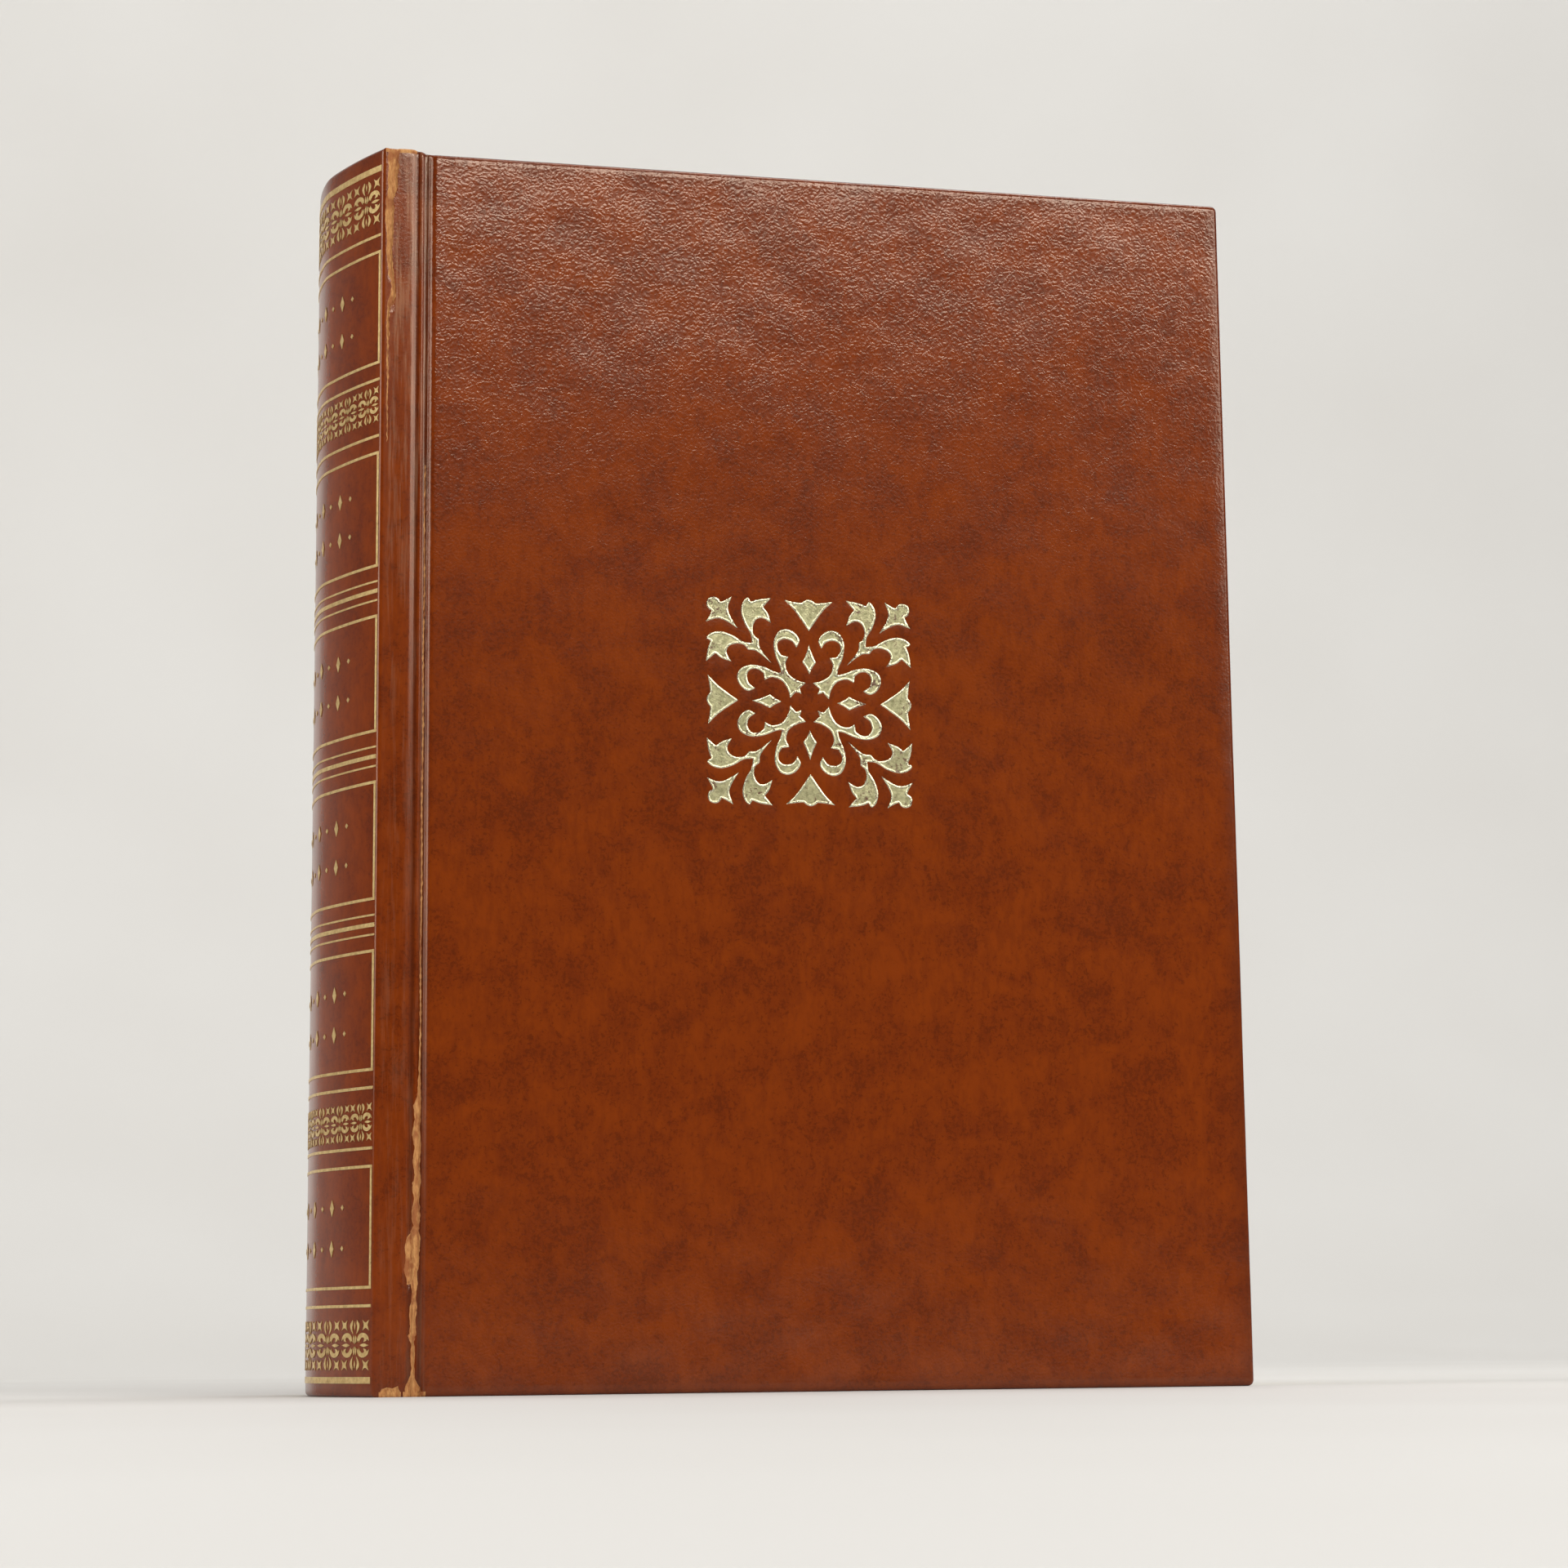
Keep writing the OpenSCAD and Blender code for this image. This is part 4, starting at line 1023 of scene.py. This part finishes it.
# Pale upright streaks on the joint's ridge strip: partly real scuffs and partly a painted reflection of the
# lights, stronger on the upper part.
scuff_and_reflection = noise(tree, vectors(tree, "MULTIPLY", where, (900, 900, 55)), 1.0, 4.0, 0.65)
scuff_and_reflection = maths(tree, "MULTIPLY", ramp(tree, scuff_and_reflection, 0.46, 0.66), masks["strip"])
scuff_reflection_share = maths(tree, "MULTIPLY_ADD", upper, 0.26, 0.08)
colour = overlaid(tree, colour, (scuff_and_reflection, scuff_reflection_share, srgb(190, 146, 112)))
feed(tree, shader, {"Base Color": colour})
roughness = maths(tree, "MULTIPLY_ADD", hide.outputs["Tone"], -0.02, 0.2)
feed(tree, shader, {"Roughness": roughness})
depth = maths(tree, "MULTIPLY_ADD", upper, 0.7, 0.3)
depth = maths(tree, "MULTIPLY", depth, maths(tree, "MULTIPLY_ADD", masks["board"], 0.75, 0.25))
emboss(tree, shader, maths(tree, "MULTIPLY", hide.outputs["Height"], depth), 0.000019, 1.0)

flesh, tree, shader, where = material("leather_flesh", Roughness=0.85)
strands = noise(tree, vectors(tree, "MULTIPLY", where, (2600, 2600, 700)), 1.0, 5.0, 0.7)
patches = noise(tree, where, 420.0, 3.0)
colour = blend_colour(tree, ramp(tree, strands, 0.3, 0.7), srgb(168, 104, 54), srgb(214, 158, 96))
colour = overlaid(tree, colour, (ramp(tree, patches, 0.52, 0.66), 0.7, srgb(150, 78, 36)))
feed(tree, shader, {"Base Color": colour})
emboss(tree, shader, strands, 0.0002, 0.8)

front_skin.data.materials.append(leather)
front_skin.data.materials.append(flesh)
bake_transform(front_skin)
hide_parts("spine_leather", "front_cover_leather")


# Leather of the back joint and cover: the other half of the same skin, whole at its joint. It meets the
# spine's leather along the back ridge, is pasted to the board, and is turned in on three sides.
back_columns = lines_between((ARCH_S, A_GROOVE + 1.6, 0.2), (A_GROOVE + 1.6, A_FORE, 2.2))
back_rows = lines_between((EDGE_ROLL, BOOK_H - EDGE_ROLL, 2.2))
back_skin = leather_skin("back_leather", back_columns, back_rows, [], (), True)[0]
back_skin.data.materials.append(leather)
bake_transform(back_skin)
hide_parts("back_cover_leather")


# Joint linings: the folds of the two endpapers. Each is a strip of the same cream paper from the flyleaf's
# edge, over the joint, to the pastedown's edge. It is glued to both, so the gutter stays closed.
LINING_T, LINING_INSET = 0.12, 3.4
LINING_LINE = np.array([
    (-60.2, -19.7), (-62.4, -20.78), (-64.45, -21.8), (-65.2, -22.1), (-65.45, -22.22), (-65.2, -22.34),
    (-64.6, -22.36), (-62.8, -22.34), (-61.0, -22.34), (-59.7, -22.32), (-59.45, -22.1), (-59.44, -21.4),
    (-59.42, -20.4), (-59.2, -20.06), (-58.3, -19.93)])


def joint_lining(name, side):
    """One endpaper fold, bent between the block and a cover: side -1 is the front and 1 the back."""
    run = np.concatenate([[0], np.cumsum(np.linalg.norm(np.diff(LINING_LINE, axis=0), axis=1))])
    steps = np.linspace(0, run[-1], 72)
    line = np.stack([np.interp(steps, run, LINING_LINE[:, k]) for k in range(2)], 1)
    ahead = np.gradient(line, axis=0)
    normal = np.stack([-ahead[:, 1], ahead[:, 0]], 1) / np.linalg.norm(ahead, axis=1)[:, None]
    loop = np.concatenate([line - normal * LINING_T / 2, (line + normal * LINING_T / 2)[::-1]])
    loop[:, 1] *= -side
    heights = np.linspace(LINING_INSET, BOOK_H - LINING_INSET, 25)
    points = [(x, y, z) for z in heights for x, y in loop]
    size = len(loop)
    walls = [
        (r * size + i, r * size + (i + 1) % size, (r + 1) * size + (i + 1) % size, (r + 1) * size + i)
        for r in range(len(heights) - 1) for i in range(size)]
    last = (len(heights) - 1) * size
    ends = [(i, size - 1 - i, size - 2 - i, i + 1) for i in range(size // 2 - 1)]
    ends += [(last + i, last + i + 1, last + size - 2 - i, last + size - 1 - i) for i in range(size // 2 - 1)]
    turn = 1 if side < 0 else -1
    made = mesh_object(name, points, [face[::turn] for face in walls + ends])
    made.data.materials.append(endpaper)
    if side < 0:
        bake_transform(made)
    else:
        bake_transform(made)


joint_lining("front_joint_lining", -1)
joint_lining("back_joint_lining", 1)


# Gilt stamp of the front cover: pale gold foil, pressed into the leather with one hot brass block. The foil
# lines the floor and the walls of the pressed shapes, and it has worn to dark specks, most on the right.
# Height of the foil over the leather's face and its depth below it, and where the painted highlight on its
# walls ends and fades
FOIL_OVER, FOIL_UNDER = 0.015, 0.01
WALL_HIGHLIGHT_TO, WALL_HIGHLIGHT_FADE = 0.38, 0.12
centres = sheet_flat[sheet_faces].mean(1)
gilt = inside_distance(centres, STAMP_LINES) > 0
used, faces = np.unique(sheet_faces[gilt], return_inverse=True)
faces = faces.reshape(-1, 3)
top = sheet_place[used] - sheet_inward[used] * FOIL_OVER
under = sheet_place[used] + sheet_inward[used] * FOIL_UNDER
first = top[faces]
if np.cross(first[:, 1] - first[:, 0], first[:, 2] - first[:, 0]).sum(0)[1] > 0:
    faces = faces[:, ::-1]
count = len(used)
rim = closing_rim(faces, count)
stamp_foil = mesh_object("cover_stamp", np.concatenate([top, under]),
                         np.concatenate([faces, faces[:, ::-1] + count, rim]))
stamp_foil.data.polygons.foreach_set("use_smooth", np.arange(2 * len(faces) + len(rim)) < 2 * len(faces))
# painted highlight: the foil on the walls of the shapes gets a paler colour, fading out towards their floors
wall = np.tile(np.clip((WALL_HIGHLIGHT_TO - sheet_stamp[used]) / WALL_HIGHLIGHT_FADE, 0, 1), 2).astype(np.float32)
stamp_foil.data.attributes.new("wall", "FLOAT", "POINT").data.foreach_set("value", wall)


def foil_wear_group():
    """Shared look of gold foil: cloudy tone, fine scratches and specks where the leather shows through."""
    tree, given, out = new_tree(
        "foil_wear", "ShaderNodeTree",
        (("Vector", "Vector", None), ("Wear", "Float", 0.5),
         ("Speck Size", "Float", 0.5)),
        (("Bare", "Float"), ("Tone", "Float"), ("Height", "Float")))
    place = vectors(tree, "MULTIPLY", given["Vector"], (1000, 1000, 1000))
    size = maths(tree, "DIVIDE", 1.0, given["Speck Size"])
    specks = noise(tree, place, size, 5.0, 0.75, 0.6)
    patches = noise(tree, place, maths(tree, "MULTIPLY", size, 0.12), 2.0)
    limit = maths(tree, "MULTIPLY_ADD", patches, -0.35, 0.93)
    limit = maths(tree, "SUBTRACT", limit, maths(tree, "MULTIPLY", given["Wear"], 0.16))
    bare = maths(tree, "MULTIPLY", maths(tree, "SUBTRACT", specks, limit), 16.0, clamp=True)
    feed(tree, out, {"Bare": bare})
    tone = noise(tree, place, 1.1, 5.0, 0.7)
    feed(tree, out, {"Tone": ramp(tree, tone, 0.3, 0.7)})
    fine = noise(tree, place, 4.2, 4.0, 0.65)
    feed(tree, out, {"Height": fine})
    return tree


foil_wear = foil_wear_group()


def gold_foil(name, pale, deep, wear, speck, grain_depth, metal):
    """A gold foil material with its own tones and wear; metal is how much of it mirrors as metal. The foil on
    the walls of a pressed shape, marked by a point attribute, is smoother and painted paler as a highlight."""
    made, tree, shader, where = material(name)
    film = put(tree, "ShaderNodeGroup", {"Vector": where, "Wear": wear, "Speck Size": speck},
               node_tree=foil_wear)
    wall = put(tree, "ShaderNodeAttribute", attribute_name="wall").outputs["Fac"]
    # painted highlight: paler colour on the walls
    tone = blend_colour(tree, wall, blend_colour(tree, film.outputs["Tone"], deep, pale), srgb(216, 211, 176))
    tone = blend_colour(tree, film.outputs["Bare"], tone, srgb(92, 46, 24))
    feed(tree, shader, {"Base Color": tone})
    mirror = maths(tree, "MULTIPLY_ADD", film.outputs["Bare"], -metal, metal)
    feed(tree, shader, {"Metallic": mirror})
    matt = maths(tree, "MULTIPLY_ADD", film.outputs["Tone"], -0.1, 0.4)
    feed(tree, shader, {"Roughness": maths(tree, "MULTIPLY_ADD", wall, -0.16, matt)})
    emboss(tree, shader, film.outputs["Height"], grain_depth, 0.6)
    return made


stamp_gold = gold_foil("gold_stamp", srgb(186, 180, 138), srgb(130, 126, 90), 1.2, 0.6, 0.00007, 0.75)
stamp_foil.data.materials.append(stamp_gold)
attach(stamp_foil, "front_cover")
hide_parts("cover_ornament")


# Gilding of the spine: rules, frames and rows of lozenges rolled and stamped in gold foil. They are thin
# films on the leather, dulled and rubbed where the joint has flexed.
# Its base is paler and yellower than the cover's foil: partly a painted highlight that stands in for the
# brighter gleam of the spine's gilt.
spine_gold = gold_foil("gold_spine", srgb(228, 200, 138), srgb(190, 156, 98), 0.55, 0.5, 0.00005, 0.6)
coat(("spine_rules", "spine_frames", "spine_tooling"), spine_gold)


# Ornament bands of the spine: square units with corner stars, leaf pairs, fans and a rosette, set edge to
# edge by an engraved roll. Geometry Nodes repeat one flat unit and lay the row on the spine's arch.
UNIT_QUADRANT = [
    [(0.54, 1.0, 1), (0.74, 0.89), (0.98, 1.0, 1), (0.88, 0.79), (0.98, 0.58, 1), (0.76, 0.69),
     (0.54, 0.58, 1), (0.64, 0.79)],
    [(0.15, 1.0, 1), (0.3, 0.87), (0.33, 0.72), (0.24, 0.56), (0.11, 0.44, 1), (0.17, 0.6), (0.18, 0.74),
     (0.13, 0.88)],
    [(0.16, 0.12, 1), (0.2, 0.3), (0.32, 0.43), (0.52, 0.49), (0.74, 0.46), (0.92, 0.34), (0.97, 0.17, 1),
     (0.84, 0.26), (0.8, 0.17, 1), (0.62, 0.13, 1), (0.68, 0.25), (0.6, 0.32), (0.46, 0.29), (0.36, 0.2),
     (0.3, 0.1, 1), (0.26, 0.2)],
    [(0.03, 0.05, 1), (0.1, 0.14), (0.12, 0.27), (0.07, 0.4, 1), (0.02, 0.26)],
]
UNIT_AXIS = [
    [(0.36, 0.0, 1), (0.62, 0.07), (0.96, 0.0, 1), (0.62, -0.07)],
    [(-0.36, 0.0, 1), (-0.62, -0.07), (-0.96, 0.0, 1), (-0.62, 0.07)],
    [(0.0, 0.94, 1), (0.045, 0.78), (0.0, 0.6, 1), (-0.045, 0.78)],
    [(0.0, -0.94, 1), (-0.045, -0.78), (0.0, -0.6, 1), (0.045, -0.78)],
]
FOIL_FROM, FOIL_TO = 0.02, 0.1


def flat_prism(outlines, low, high):
    """Points and faces of upright prisms on closed outlines."""
    points, faces = [], []
    for outline in outlines:
        area = np.cross(outline, np.roll(outline, -1, 0)).sum()
        line = outline if area > 0 else outline[::-1]
        start, count = len(points), len(line)
        points += [(p[0], p[1], low) for p in line] + [(p[0], p[1], high) for p in line]
        cut = delaunay_2d_cdt([Vector(p) for p in line], [(i, (i + 1) % count) for i in range(count)],
                              [list(range(count))], 1, 1e-7)
        names = [olds[0] if olds else None for olds in cut[3]]
        for face in cut[2]:
            t = [names[i] for i in face]
            if None not in t:
                faces.append([start + count + i for i in t])
                faces.append([start + i for i in reversed(t)])
        for i in range(count):
            j = (i + 1) % count
            faces.append([start + i, start + j, start + count + j, start + count + i])
    return points, faces


unit_lines = []
for shape in UNIT_QUADRANT:
    outline = smooth_outline(shape, 0.1)
    for u, v in ((1, 1), (-1, 1), (-1, -1), (1, -1)):
        unit_lines.append(outline * (u, v))
unit_lines += [smooth_outline(shape, 0.12) for shape in UNIT_AXIS]
arch_object = line_object("arch_line", on_arch(np.linspace(-GILT_S, GILT_S, 240))[0])


def roll_tree(gold):
    """Repeats the flat unit in a row and lays it on the arch line: x along the line, y up, z out."""
    tree, given, out = new_tree(
        "ornament_roll", "GeometryNodeTree",
        (("Unit", "Geometry", None), ("Arch Line", "Object", None),
         ("Count", "Int", 6), ("Row Length", "Float", 0.049),
         ("Unit Size", "Float", 0.0077), ("Height", "Float", 0.0)),
        (("Geometry", "Geometry"),))
    pitch = maths(tree, "DIVIDE", given["Row Length"], given["Count"])
    step = put(tree, "ShaderNodeCombineXYZ", {"X": pitch})
    start = put(tree, "ShaderNodeCombineXYZ", {"X": maths(tree, "MULTIPLY", pitch, 0.5)})
    row = put(tree, "GeometryNodeMeshLine", {
        "Count": given["Count"], "Start Location": start, "Offset": step,
    }, mode="OFFSET")
    half = maths(tree, "MULTIPLY", given["Unit Size"], 0.5)
    size = put(tree, "ShaderNodeCombineXYZ", {"X": half, "Y": half, "Z": 1.0})
    units = put(tree, "GeometryNodeInstanceOnPoints", {
        "Points": row, "Instance": given["Unit"], "Scale": size})
    real = put(tree, "GeometryNodeRealizeInstances", {0: units})
    place = split(tree, put(tree, "GeometryNodeInputPosition"))
    line = put(tree, "GeometryNodeObjectInfo", {"Object": given["Arch Line"]}).outputs["Geometry"]
    sample = put(tree, "GeometryNodeSampleCurve", {"Curves": line, "Length": place["X"]},
                 mode="LENGTH")
    away = vectors(tree, "CROSS_PRODUCT", sample.outputs["Tangent"], (0, 0, 1))
    lifted = vectors(tree, "SCALE", away, Scale=place["Z"])
    height = maths(tree, "ADD", place["Y"], given["Height"])
    upright = put(tree, "ShaderNodeCombineXYZ", {"Z": height})
    total = vectors(tree, "ADD", vectors(tree, "ADD", sample.outputs["Position"], lifted), upright)
    moved = put(tree, "GeometryNodeSetPosition", {"Geometry": real, "Position": total})
    coated = put(tree, "GeometryNodeSetMaterial", {"Geometry": moved, "Material": gold})
    feed(tree, out, {"Geometry": coated})
    return tree


ornament_roll = roll_tree(spine_gold)
unit_points, unit_faces = flat_prism(unit_lines, FOIL_FROM * MM, FOIL_TO * MM)
BAND_ROWS = [(7.95, 7.7, 6), (42.3, 5.9, 8), (BOOK_H - 42.3, 5.9, 8), (BOOK_H - 7.95, 7.7, 6)]
band_meshes = []
for middle, height, count in BAND_ROWS:
    band_meshes.append(run_nodes(
        unit_points, unit_faces, ornament_roll, Arch_Line=arch_object, Count=count,
        Row_Length=2 * GILT_S * MM, Unit_Size=height * MM, Height=middle * MM))
bpy.data.objects.remove(arch_object)
gilt_bands = mesh_on("gilt_bands", band_meshes)
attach(gilt_bands, "block")
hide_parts("spine_bands")


# Floor, light and camera: pale paper sweep, soft daylight from above and in front, and the photo's own
# viewpoint.
FLOOR_FRONT, FLOOR_BACK, SWEEP_R, WALL_TOP, FLOOR_SIDE = -620.0, 550.0, 500.0, 2400.0, 3200.0
profile = [(FLOOR_FRONT, 0.0), (FLOOR_BACK, 0.0)]
for t in np.linspace(0.15, math.pi / 2, 10):
    profile.append((FLOOR_BACK + SWEEP_R * math.sin(t), SWEEP_R - SWEEP_R * math.cos(t)))
profile.append((FLOOR_BACK + SWEEP_R, WALL_TOP))
floor_points = [(x, y, z) for y, z in profile for x in (-FLOOR_SIDE, FLOOR_SIDE)]
floor_faces = []
for i in range(len(profile) - 1):
    floor_faces.append((2 * i, 2 * i + 1, 2 * i + 3, 2 * i + 2))
floor = mesh_object("floor", floor_points, floor_faces)
floor_paint, tree, shader, where = material("floor_paper", Roughness=0.75)
speckle = noise(tree, where, 9.0, 1.0)
speckled = blend_colour(tree, speckle, srgb(213, 211, 207), srgb(220, 219, 216))
feed(tree, shader, {"Base Color": speckled})
floor.data.materials.append(floor_paint)


def soft_light(name, place, aim, size, power, colour):
    """A rectangular area light, with place, aim and size in metres and its power in watts."""
    light = bpy.data.lights.new(name, "AREA")
    light.shape = "RECTANGLE"
    light.size, light.size_y = size
    light.energy = power
    light.color = colour
    made = in_scene(name, light)
    made.location = place
    made.rotation_euler = (Vector(aim) - Vector(place)).to_track_quat("-Z", "Y").to_euler()


soft_light("top_light", (0.28, -0.13, 1.3), (0.0, 0.0, 0.1), (1.0, 0.26), 4.2, (1.0, 0.985, 0.97))
soft_light("window_light", (-1.25, -0.1, 0.6), (0.0, 0.0, 0.1), (0.6, 0.9), 9.0, (1.0, 0.97, 0.93))
soft_light("front_light", (0.34, -1.4, 0.92), (0.0, 0.0, 0.15), (1.2, 0.2), 13.0, (1.0, 0.985, 0.96))
soft_light("side_light", (1.1, -1.1, 0.75), (0.0, 0.0, 0.17), (0.8, 0.6), 8.0, (1.0, 0.975, 0.94))
soft_light("wall_light", (0.45, 0.2, 1.7), (0.45, 1.05, 0.35), (2.0, 0.6), 11.5, (1.0, 0.99, 0.98))
world = bpy.data.worlds.new("room")
world.use_nodes = True
world.node_tree.nodes["Background"].inputs["Color"].default_value = (0.88, 0.9, 0.93, 1)
world.node_tree.nodes["Background"].inputs["Strength"].default_value = 0.09
bpy.context.scene.world = world
bpy.context.scene.view_settings.view_transform = "Standard"

IMAGE_W, SENSOR_W, FOCAL_PX = 1920, 36.0, 4154.1
YAW, PITCH, ROLL = (math.radians(a) for a in (12.73, 9.43, 0.59))
CAMERA_AT = (-0.12137, -0.55332, 0.00694)
forward = Vector((math.sin(YAW) * math.cos(PITCH), math.cos(YAW) * math.cos(PITCH), math.sin(PITCH)))
right = Vector((math.cos(YAW), -math.sin(YAW), 0))
down = forward.cross(right)
turned_right = right * math.cos(ROLL) + down * math.sin(ROLL)
turned_down = -right * math.sin(ROLL) + down * math.cos(ROLL)
lens = bpy.data.cameras.new("camera")
lens.sensor_width = SENSOR_W
lens.lens = SENSOR_W * FOCAL_PX / IMAGE_W
camera = in_scene("camera", lens)
camera.matrix_world = Matrix(
    [(turned_right[k], -turned_down[k], -forward[k], CAMERA_AT[k]) for k in range(3)] + [(0, 0, 0, 1)])
bpy.context.scene.camera = camera

bpy.context.view_layer.update()
